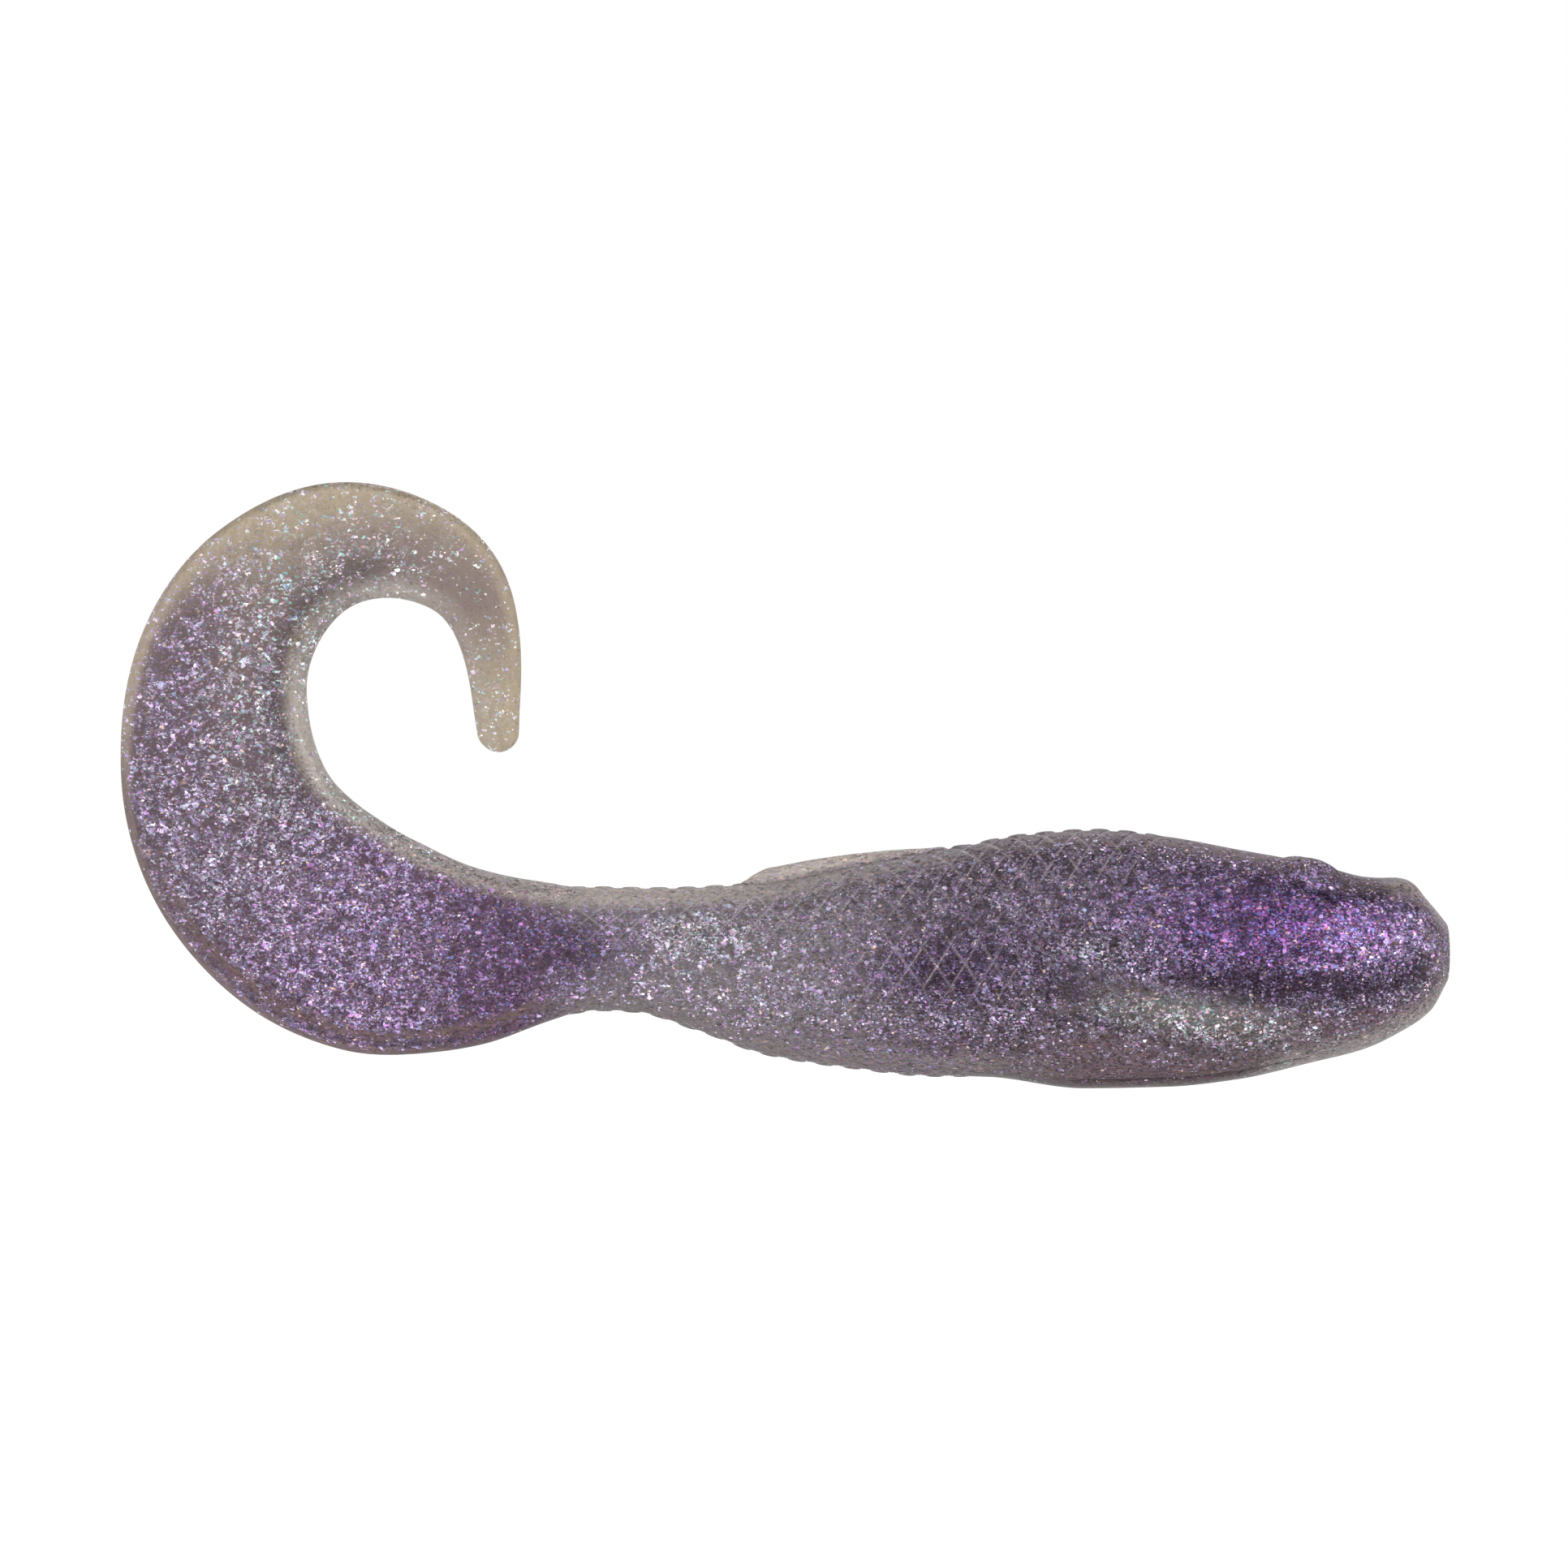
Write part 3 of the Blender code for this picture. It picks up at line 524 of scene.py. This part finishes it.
def paint_blade(s, inner, outer):
    """The same for the blade, by the distances from its inner and its outer edge."""
    tail = np.clip((s - BODY_LENGTH) / TAIL_LENGTH, 0.0, 1.0)
    margin = margin_law(tail)
    curl = ease(tail, 0.36, 0.5)
    dense = ease(outer, margin * 0.3, margin * 2.0 + 2.0 * ease(tail, 0.4, 0.5))
    dense = dense * ease(inner, 1.2, 3.2) * (1 - 0.85 * ease(tail, 0.62, 0.86))
    far = ease(tail, 0.30, 0.66)
    shade = bell(inner, 3.0, 1.5) * ease(tail, 0.30, 0.50) * (1 - ease(tail, 0.70, 0.80))
    band = bell(inner, 5.0, 3.2) * ease(tail, 0.24, 0.42) * (1 - ease(tail, 0.72, 0.88))
    outside = ease(inner, 7.0, 12.0) * ease(tail, 0.3, 0.42) * (1 - ease(tail, 0.54, 0.68))
    root = bell(tail, 0.06, 0.07)
    dusky = ease(tail, 0.58, 0.72) * (1 - ease(tail, 0.84, 0.96)) * (1 - ease(inner, 4.0, 11.0))
    rim = (1 - ease(inner, 0.9, 2.7)) * (1 - 0.7 * ease(tail, 0.74, 0.9))
    rim_light = 0.85 + 0.25 * bell(tail, 0.42, 0.1) - 0.30 * bell(tail, 0.63, 0.09)
    lip = (1 - ease(outer, 0.4, 1.6)) * ease(tail, 0.38, 0.52)
    # painted shade: dark brown in the groove beside the outer bead and along the lower lip, with fewer
    # flakes there
    groove = bell(outer, 1.9, 0.75) * ease(tail, 0.0, 0.03) * (1 - ease(tail, 0.30, 0.42))
    low_lip = (1 - ease(outer, 0.2, 0.9)) * ease(tail, 0.05, 0.12) * (1 - ease(tail, 0.40, 0.50))
    groove_and_lip_shade = np.maximum(groove, low_lip)

    base = mix(SMOKE * 1.5, BEIGE, far)
    base = mix(base, BLADE_PLUM, dense * (0.90 - 0.25 * far))
    base = mix(base, OUTER_BROWN, 0.75 * outside * ease(outer, 0.4, 0.6 + 1.2 * margin))
    base = mix(base, TIP_DUSK, 0.85 * dusky)
    base = mix(base, ROOT_PLUM, 0.7 * root * ease(inner, 1.2, 4.0))
    base = base * (1 - 0.45 * shade)[..., None]
    base = mix(base, PALE * rim_light[..., None], 0.85 * rim)
    base = mix(base, BEIGE * 1.05, 0.7 * lip)
    base = mix(base, EDGE_SHADE_BROWN, 0.9 * groove_and_lip_shade)

    cover = 0.15 + 0.55 * dense + 0.14 * band + 0.12 * rim - 0.02 * outside - 0.10 * dusky
    cover = cover + (0.07 + 0.09 * bell(tail, 0.56, 0.12)) * curl * (1 - dense)
    cover = cover * (1 - 0.85 * groove_and_lip_shade) * (1 - 0.25 * root) * (1 - 0.4 * shade)
    violet = 0.47 - 0.37 * ease(tail, 0.22, 0.42) - 0.12 * ease(tail, 0.52, 0.68)
    violet = violet + 0.22 * outside + 0.15 * root - 0.4 * rim
    bright = 0.80 + 0.08 * bell(tail, 0.24, 0.12) + 0.08 * band + 0.20 * curl * (1 - dense)
    bright = bright - 0.40 * root - 0.25 * shade
    coarse = 0.35 + 0.65 * ease(tail, 0.2, 0.5)
    return base, np.stack(np.broadcast_arrays(cover, violet, bright, coarse), -1)


def paint(s, w, round_it):
    """Per point: the plastic's colour with painted shade and painted highlights in it, and the flakes'
    four measures.
    """
    low, high = edges(s)
    on_tail = ease(s, BODY_LENGTH - 3.0, BODY_LENGTH + 6.0)
    body_base, body_flakes = paint_body(s, w)
    blade_base, blade_flakes = paint_blade(s, high - w, w - low)
    base = mix(body_base, blade_base, on_tail)
    flakes = mix(body_flakes, blade_flakes, on_tail)
    # the thin fin is pale, and the grooves between scales get fine pale lines: a painted highlight for
    # the light they catch
    fin = ease(w, high + 0.05, high + 0.45) * (s > FIN_START) * (s < FIN_END)
    base = mix(base, PALE, fin)
    flakes[..., 0] *= 1 - 0.7 * fin
    first, second = scale_lines(s, round_it)
    line = np.maximum(bell(first, 0, 0.034), bell(second, 0, 0.034)) * scale_share(s, w) * (1 - fin)
    near_back = ease(w, high - 6.5, high - 3.0)
    line = line * (0.18 + 0.70 * near_back + 0.80 * blob(s, w, *BRIGHT_SCALES))
    base = mix(base, SCALE_LINE_HIGHLIGHT, line)
    flakes[..., 0] *= 1 - line
    # painted shade in the fine groove above the belly and in the crease under the gill cover
    crease = bell(w, crease_line(s) - 0.3, 0.5) * ease(s, 16, 26) * (1 - ease(s, 37, 39))
    groove_and_crease_shade = 0.5 * groove_share(s, w) + 0.3 * crease
    base = base * (1 - groove_and_crease_shade)[..., None]
    flakes[..., 0] *= 1 - groove_and_crease_shade
    return np.clip(base, 0.008, 1.0), np.clip(flakes, 0.0, 2.5)


# --- The skin --------------------------------------------------------------------------------


class Skin:
    """The whole skin as rings: ring 0 is the nose face's rim, the last one the tip."""

    def __init__(self):
        s = stations()
        w, h, round_it = sections(s)
        at = np.repeat(s[:, None], w.shape[1], axis=1)
        centre, along = middle(s), direction(s)
        across = np.stack([along[:, 1], -along[:, 0]], -1)
        flat = centre[:, None, :] + across[:, None, :] * w[..., None]
        side = np.stack([flat[..., 0], h, flat[..., 1]], -1)
        plain = self.normals(self.both(side))[:, : HALF_RING + 1]
        side = side + plain * relief(at, w, round_it)[..., None]
        side[:, 0, 1] = side[:, -1, 1] = 0.0
        self.s = s
        self.flow = self.both(np.stack([at, w, h], -1))
        self.points = self.both(side)
        self.normal = self.normals(self.points)
        base, flakes = paint(at, w, round_it)
        self.base = self.both(base, turn=False)
        self.flakes = self.both(flakes, turn=False)

    def both(self, side, turn=True):
        """Adds the other side: rings of 2 * HALF_RING points, up the +Y side and down the other."""
        other = side[:, -2:0:-1].copy()
        if turn:
            other[..., 1] *= -1
        return np.concatenate([side, other], axis=1)

    def normals(self, points):
        """The way the skin faces at each point of the rings."""
        around = np.roll(points, -1, axis=1) - np.roll(points, 1, axis=1)
        along = np.gradient(points, axis=0)
        normal = np.cross(along, around)
        length = np.linalg.norm(normal, axis=-1, keepdims=True)
        return normal / np.maximum(length, 1e-12)

    def ring_at(self, s):
        """The number of the ring nearest to s."""
        return int(np.argmin(np.abs(self.s - s)))


def nose_face(skin):
    """Rings that close the nose with a flat face, from the middle outwards, and its middle point."""
    rim = skin.points[0]
    centre = np.array((rim[:, 0].mean(), 0.0, rim[:, 2].mean()))
    shares = np.linspace(0.0, 1.0, NOSE_RINGS + 2)[1:-1]
    return [centre + (rim - centre) * share for share in shares], centre


def make_piece(name, skin, first, last, material, close_nose=False, close_tip=False):
    """A mesh of the skin's rings from first to last, both included."""
    count = 2 * HALF_RING
    points = skin.points[first : last + 1].reshape(-1, 3)
    normal = skin.normal[first : last + 1].reshape(-1, 3)
    base = skin.base[first : last + 1].reshape(-1, 3)
    flow = skin.flow[first : last + 1].reshape(-1, 3)
    flakes = skin.flakes[first : last + 1].reshape(-1, 4)
    rings = last - first + 1
    offset = 0
    if close_nose:
        extra, centre = nose_face(skin)
        front = np.concatenate([[centre], *extra])
        points = np.concatenate([front, points])
        normal = np.concatenate([np.tile((1.0, 0.0, 0.0), (len(front), 1)), normal])
        base = np.concatenate([np.tile(skin.base[0].mean(0), (len(front), 1)), base])
        flow = np.concatenate([front, flow])
        flakes = np.concatenate([np.tile(skin.flakes[0].mean(0), (len(front), 1)), flakes])
        rings += len(extra)
        offset = 1
    a = np.arange(count)
    b = (a + 1) % count
    rows = offset + count * np.arange(rings - 1)[:, None]
    quads = np.stack([rows + a, rows + count + a, rows + count + b, rows + b], -1).reshape(-1, 4)
    fans = []
    if close_nose:
        fans.append(np.stack([np.zeros(count, int), offset + a, offset + b], -1))
    if close_tip:
        rim = offset + (rings - 1) * count
        fans.append(np.stack([np.full(count, len(points)), rim + b, rim + a], -1))
        ahead = direction(np.array([LURE_LENGTH]))[0]
        points = np.concatenate([points, [skin.points[-1].mean(0)]])
        normal = np.concatenate([normal, [(ahead[0], 0.0, ahead[1])]])
        base = np.concatenate([base, base[-1:]])
        flow = np.concatenate([flow, flow[-1:]])
        flakes = np.concatenate([flakes, flakes[-1:]])
    faces = quads.tolist() + [f for fan in fans for f in fan.tolist()]
    mesh = bpy.data.meshes.new(name)
    mesh.from_pydata((points * MM).tolist(), [], faces)
    mesh.shade_smooth()
    store(mesh, "rest_mm", "FLOAT_VECTOR", "vector", points)
    store(mesh, "flow_mm", "FLOAT_VECTOR", "vector", flow)
    store(mesh, "plastic", "FLOAT_COLOR", "color", np.column_stack([base, np.ones(len(base))]))
    store(mesh, "flakes", "FLOAT_COLOR", "color", flakes)
    mesh.normals_split_custom_set_from_vertices(normal.tolist())
    mesh.materials.append(material)
    piece = bpy.data.objects.new(name, mesh)
    bpy.context.scene.collection.objects.link(piece)
    return piece


def store(mesh, name, kind, field, values):
    """Keeps one value per point on the mesh, for its material."""
    attribute = mesh.attributes.new(name, kind, "POINT")
    attribute.data.foreach_set(field, np.asarray(values, np.float32).ravel())


# --- Materials -------------------------------------------------------------------------------


class Nodes:
    """Short names for building a material's nodes."""

    def __init__(self, name):
        self.material = bpy.data.materials.new(name)
        self.material.use_nodes = True
        self.tree = self.material.node_tree
        self.shader = self.tree.nodes["Principled BSDF"]

    def add(self, kind, inputs=(), **settings):
        node = self.tree.nodes.new(kind)
        for key, value in settings.items():
            setattr(node, key, value)
        for key, value in dict(inputs).items():
            self.feed(node.inputs[key], value)
        return node

    def feed(self, socket, value):
        if isinstance(value, bpy.types.NodeSocket):
            self.tree.links.new(value, socket)
        else:
            socket.default_value = value

    def math(self, operation, a, b=0.0, clamp=False):
        node = self.add("ShaderNodeMath", operation=operation, use_clamp=clamp)
        self.feed(node.inputs[0], a)
        self.feed(node.inputs[1], b)
        return node.outputs[0]

    def vector(self, operation, a, b=(0.0, 0.0, 0.0), scale=None):
        node = self.add("ShaderNodeVectorMath", operation=operation)
        self.feed(node.inputs[0], a)
        if scale is None:
            self.feed(node.inputs[1], b)
        else:
            self.feed(node.inputs["Scale"], scale)
        return node.outputs[0]

    def mix(self, factor, a, b):
        node = self.add("ShaderNodeMix", data_type="RGBA")
        self.feed(node.inputs["Factor"], factor)
        self.feed(node.inputs["A"], a)
        self.feed(node.inputs["B"], b)
        return node.outputs["Result"]

    def scaled(self, value, gain, offset):
        """value * gain + offset"""
        return self.math("ADD", self.math("MULTIPLY", value, gain), offset)

    def raised(self, value, power, gain, offset):
        """value ** power * gain + offset"""
        return self.scaled(self.math("POWER", value, power), gain, offset)

    def noise(self, place, scale, detail):
        return self.add("ShaderNodeTexNoise", {"Vector": place, "Scale": scale, "Detail": detail})

    def bits(self, place, scale):
        """Cells that fill space: their random colour, and its three channels."""
        cells = self.add("ShaderNodeTexVoronoi", {"Vector": place, "Scale": scale}).outputs["Color"]
        return cells, self.add("ShaderNodeSeparateColor", {"Color": cells}).outputs

    def hue(self, violet, at):
        """A flake's own colour: from the silvers, or from the violets by the share painted."""
        return self.mix(violet, self.ramp(at, SILVERS), self.ramp(at, VIOLETS))

    def ramp(self, factor, stops):
        node = self.add("ShaderNodeValToRGB")
        node.color_ramp.interpolation = "LINEAR"
        elements = node.color_ramp.elements
        while len(elements) < len(stops):
            elements.new(0.5)
        for element, (place, colour) in zip(elements, stops):
            element.position = place
            element.color = (*colour, 1.0)
        self.feed(node.inputs["Fac"], factor)
        return node.outputs["Color"]


VIOLETS = [
    (0.0, (0.14, 0.10, 0.34)), (0.12, (0.18, 0.24, 0.92)), (0.24, (0.46, 0.11, 0.62)),
    (0.38, (0.80, 0.17, 0.80)), (0.50, (0.26, 0.32, 0.95)), (0.62, (0.52, 0.30, 0.84)),
    (0.74, (1.0, 0.20, 0.52)), (0.84, (0.22, 0.50, 0.74)), (0.92, (1.0, 0.40, 0.26)),
    (1.0, (0.90, 0.84, 0.94)),
]
SILVERS = [
    (0.0, (0.20, 0.19, 0.20)), (0.14, (0.46, 0.54, 0.50)), (0.28, (0.42, 0.22, 0.46)),
    (0.42, (0.74, 0.84, 0.76)), (0.56, (0.64, 0.30, 0.50)), (0.68, (0.42, 0.82, 0.68)),
    (0.80, (0.34, 0.34, 0.66)), (0.92, (0.98, 0.60, 0.46)), (1.0, (1.0, 1.0, 0.96)),
]


# The kinds of loose flakes: size in mm, share of the cover, what coarseness adds to that share, and
# how brightly they shine
FLAKE_KINDS = [(0.13, 1.0, -0.45, 0.80), (0.19, 0.72, 0.0, 1.05), (0.33, 0.0, 0.34, 1.25)]


def fine_dust(n, plastic, violet, coarse, shift):
    """The clear plastic with fine dust in it, drawn out along the flow of the plastic."""
    flow = n.add("ShaderNodeAttribute", attribute_name="flow_mm").outputs["Vector"]
    wavy = n.vector("ADD", flow, n.vector("SCALE", shift, scale=0.4))
    _, (share, kind, glint) = n.bits(n.vector("MULTIPLY", wavy, (2.0, 7.5, 7.5)), 1.0)
    veil = n.scaled(n.raised(share, 2.0, 1.0, -0.33), 0.5, 0.0)
    veil = n.math("ADD", n.math("MULTIPLY", veil, n.scaled(coarse, -0.8, 1.0)), 1.0)
    tinted = n.vector("MULTIPLY", n.hue(violet, kind), plastic)
    dusty = n.vector("SCALE", tinted, scale=n.scaled(n.raised(glint, 2.0, 0.9, 0.12), 4.6, 0.0))
    seen = n.math("LESS_THAN", share, 0.45)
    seen = n.math("MULTIPLY", seen, n.scaled(coarse, -0.7, 0.75))
    return n.mix(seen, n.vector("SCALE", plastic, scale=veil), dusty)


def deep_flakes(n, bent, plastic, violet, bright):
    """Flakes deep in the plastic, packed close and mostly dim."""
    _, (_, kind, glint) = n.bits(n.vector("ADD", bent, (3.3, 5.1, 7.7)), 5.2)
    level = n.math("MULTIPLY", n.raised(glint, 1.8, 0.64, 0.14), bright)
    lit = n.vector("SCALE", n.hue(violet, kind), scale=level)
    return n.vector("ADD", lit, n.vector("SCALE", plastic, scale=0.35))


def flake_plastic():
    """Smoky soft plastic full of flakes: fine dust, a deep mosaic of dim flakes, and loose flakes of
    three sizes near the skin, each with its own colour and lie."""
    n = Nodes("flake_plastic")
    place = n.add("ShaderNodeAttribute", attribute_name="rest_mm").outputs["Vector"]
    plastic = n.add("ShaderNodeAttribute", attribute_name="plastic").outputs["Color"]
    flakes = n.add("ShaderNodeAttribute", attribute_name="flakes")
    cover, violet, bright = n.add("ShaderNodeSeparateColor", {"Color": flakes.outputs["Color"]}).outputs
    coarse = flakes.outputs["Alpha"]

    shift = n.vector("SUBTRACT", n.noise(place, 3.0, 1.0).outputs["Color"], (0.5, 0.5, 0.5))
    bent = n.vector("ADD", place, n.vector("SCALE", shift, scale=0.25))
    bent = n.vector("MULTIPLY", bent, (0.8, 1.0, 1.12))
    # the flakes lie in clouds, which catch the light in patches and drift in colour
    cloud = n.noise(place, 0.6, 3.0).outputs["Fac"]
    cover = n.math("MULTIPLY", cover, n.scaled(cloud, 2.4, -0.2))
    facing = n.noise(n.vector("ADD", place, (9.1, 4.7, 2.9)), 0.9, 3.0).outputs["Fac"]
    bright = n.math("MULTIPLY", bright, n.math("MAXIMUM", n.scaled(facing, 3.6, -0.8), 0.3))
    clump = n.noise(place, 1.3, 1.0).outputs["Fac"]
    drift = n.math("MULTIPLY", n.math("SUBTRACT", clump, 0.5), 0.9)

    clear = fine_dust(n, plastic, violet, coarse, shift)
    packed = n.math("MULTIPLY", n.math("SUBTRACT", cover, 0.12), 1.5, clamp=True)
    colour = n.mix(packed, clear, deep_flakes(n, bent, plastic, violet, bright))
    least = n.scaled(coarse, 0.40, 0.55)
    shine, lie = None, None
    for size, share, by_coarse, glow in FLAKE_KINDS:
        cells, (pick, kind, glint) = n.bits(bent, 1.0 / size)
        on = n.math("LESS_THAN", pick, n.math("MULTIPLY", cover, n.scaled(coarse, by_coarse, share)))
        hue = n.hue(violet, n.math("FRACT", n.math("ADD", n.math("MULTIPLY", kind, 0.8), drift)))
        level = n.math("MULTIPLY", n.raised(glint, 3.2, 1.95, 0.13), glow)
        lit = n.vector("SCALE", hue, scale=n.math("MULTIPLY", level, bright))
        lit = n.vector("MAXIMUM", lit, n.vector("SCALE", clear, scale=least))
        colour = n.mix(on, colour, lit)
        tilt = n.vector("SUBTRACT", cells, (0.5, 0.5, 0.5))
        shine = on if shine is None else n.math("MAXIMUM", shine, on)
        lie = n.vector("SCALE", tilt, scale=on) if lie is None else n.mix(on, lie, tilt)
    grain = n.noise(place, 4.0, 2.0).outputs["Fac"]
    bump = n.add("ShaderNodeBump", {"Height": grain, "Strength": 0.15, "Distance": 0.0001})
    turned = n.vector("ADD", bump.outputs["Normal"], n.vector("SCALE", lie, scale=0.8))
    n.feed(n.shader.inputs["Base Color"], colour)
    n.feed(n.shader.inputs["Metallic"], n.math("MULTIPLY", shine, 0.4))
    n.feed(n.shader.inputs["Normal"], n.vector("NORMALIZE", turned))
    n.shader.inputs["Roughness"].default_value = 0.42
    n.shader.inputs["Specular IOR Level"].default_value = 0.16
    return n.material


# --- Pieces ----------------------------------------------------------------------------------


HEAD_CUT = 39.2  # where the stiff head's skin ends, just behind the gill covers


def cut_skin(skin, material):
    """One piece for the rigid head, and one for each hinge, from half-way to the one before it to
    half-way to the next."""
    bodies = frame["record"]["behaviour"]["bodies"]
    places = [arc_of(Vector(joint["pos_m"]) / MM) for joint in frame["joints"]]
    cuts = [HEAD_CUT] + [(a + b) / 2 for a, b in zip(places, places[1:])] + [LURE_LENGTH]
    head = make_piece("head_skin", skin, 0, skin.ring_at(cuts[0]), material, close_nose=True)
    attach(head, "head")
    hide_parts(*bodies["head"])
    for joint, place, low, high in zip(frame["joints"], places, cuts, cuts[1:]):
        child = joint["child"]
        is_tip = child == "tail_tip"
        first, last = skin.ring_at(low), skin.ring_at(high)
        piece = make_piece(f"{child}_skin", skin, first, last, material, close_tip=is_tip)
        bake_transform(piece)
        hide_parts(*bodies[child])


def arc_of(place):
    """The distance from the nose at which the middle line passes a point."""
    s = np.linspace(0.0, LURE_LENGTH, 8000)
    line = middle(s)
    return float(s[np.argmin(np.hypot(line[:, 0] - place.x, line[:, 1] - place.z))])


# --- Stage -----------------------------------------------------------------------------------


FLOOR_CENTRE, FLOOR_HEIGHT = -0.06, -0.085
DIM_RADIUS, GLOW_RADIUS = 0.06, 0.145
FLOOR_RADII = [0.0, DIM_RADIUS, 0.09, 0.11, 0.13, GLOW_RADIUS, 0.3, 1.0, 4.0]
FLOOR_SPOKES = 64
FLOOR_GLOW = 0.72
HORIZON, OVERHEAD = 0.32, 0.70  # upward part of the view at which the sky starts and ends dimming
OVERHEAD_LIGHT = 0.20
LURE_MIDDLE = (-0.0634, 0.0, 0.012)


def pale_floor():
    """A flat pale floor under the lure. It glows all round, though not below the lure, so that it
    shows white up to the horizon."""
    turn = 2 * np.pi * np.arange(FLOOR_SPOKES) / FLOOR_SPOKES
    points, glow, faces = [], [], []
    for radius in FLOOR_RADII:
        for x, y in zip(radius * np.cos(turn), radius * np.sin(turn)):
            points.append((FLOOR_CENTRE + x, y, FLOOR_HEIGHT))
            glow.append(ease(radius, DIM_RADIUS, GLOW_RADIUS))
    for ring in range(len(FLOOR_RADII) - 1):
        for k in range(FLOOR_SPOKES):
            a, b = ring * FLOOR_SPOKES + k, ring * FLOOR_SPOKES + (k + 1) % FLOOR_SPOKES
            outer = (a + FLOOR_SPOKES, b + FLOOR_SPOKES)
            faces.append((a, *outer, b) if ring else (a, *outer))
    mesh = bpy.data.meshes.new("floor")
    mesh.from_pydata(points, [], faces)
    store(mesh, "glow", "FLOAT", "value", glow)
    n = Nodes("pale_paper")
    share = n.add("ShaderNodeAttribute", attribute_name="glow").outputs["Fac"]
    n.shader.inputs["Base Color"].default_value = (0.85, 0.85, 0.85, 1.0)
    n.shader.inputs["Roughness"].default_value = 0.9
    n.shader.inputs["Emission Color"].default_value = (1.0, 1.0, 1.0, 1.0)
    n.feed(n.shader.inputs["Emission Strength"], n.math("MULTIPLY", share, FLOOR_GLOW))
    mesh.materials.append(n.material)
    made = bpy.data.objects.new("floor", mesh)
    bpy.context.scene.collection.objects.link(made)


def soft_light(name, place, size, power):
    """A round lamp of that size and power, aimed at the lure."""
    light = bpy.data.lights.new(name, "AREA")
    light.shape = "DISK"
    light.size = size
    light.energy = power
    made = bpy.data.objects.new(name, light)
    bpy.context.scene.collection.objects.link(made)
    made.location = place
    aim = Vector(LURE_MIDDLE) - Vector(place)
    made.rotation_euler = aim.to_track_quat("-Z", "Y").to_euler()


def light_stage():
    """Two soft lamps on the camera's side, one above and behind the lure, and surroundings that are
    white up to a little above eye level and dimmer overhead."""
    soft_light("key", (0.02, -0.55, 0.30), 0.35, 0.72)
    soft_light("fill", (-0.35, -0.55, 0.05), 0.5, 0.22)
    soft_light("back", (-0.02, 0.45, 0.60), 0.35, 1.30)
    world = bpy.data.worlds.new("studio")
    world.use_nodes = True
    tree = world.node_tree
    sky = tree.nodes.new("ShaderNodeTexCoord")
    split = tree.nodes.new("ShaderNodeSeparateXYZ")
    dimming = tree.nodes.new("ShaderNodeMapRange")
    dimming.interpolation_type = "SMOOTHSTEP"
    dimming.inputs["From Min"].default_value = HORIZON
    dimming.inputs["From Max"].default_value = OVERHEAD
    dimming.inputs["To Min"].default_value = 1.0
    dimming.inputs["To Max"].default_value = OVERHEAD_LIGHT
    tree.links.new(sky.outputs["Generated"], split.inputs[0])
    tree.links.new(split.outputs["Z"], dimming.inputs["Value"])
    background = tree.nodes["Background"]
    background.inputs["Color"].default_value = (1.0, 1.0, 1.0, 1.0)
    tree.links.new(dimming.outputs["Result"], background.inputs["Strength"])
    bpy.context.scene.world = world


def place_camera():
    """A long lens square to the lure's right side."""
    lens, sensor, view_width = 100.0, 36.0, 0.1508
    camera = bpy.data.cameras.new("camera")
    camera.lens = lens
    camera.sensor_width = sensor
    camera.clip_start, camera.clip_end = 0.01, 10.0
    made = bpy.data.objects.new("camera", camera)
    bpy.context.scene.collection.objects.link(made)
    made.location = (-0.0635, -view_width * lens / sensor, 0.0160)
    made.rotation_euler = (np.pi / 2, 0.0, 0.0)
    bpy.context.scene.camera = made


bpy.context.scene.view_settings.view_transform = "Standard"
place_camera()
cut_skin(Skin(), flake_plastic())
pale_floor()
light_stage()
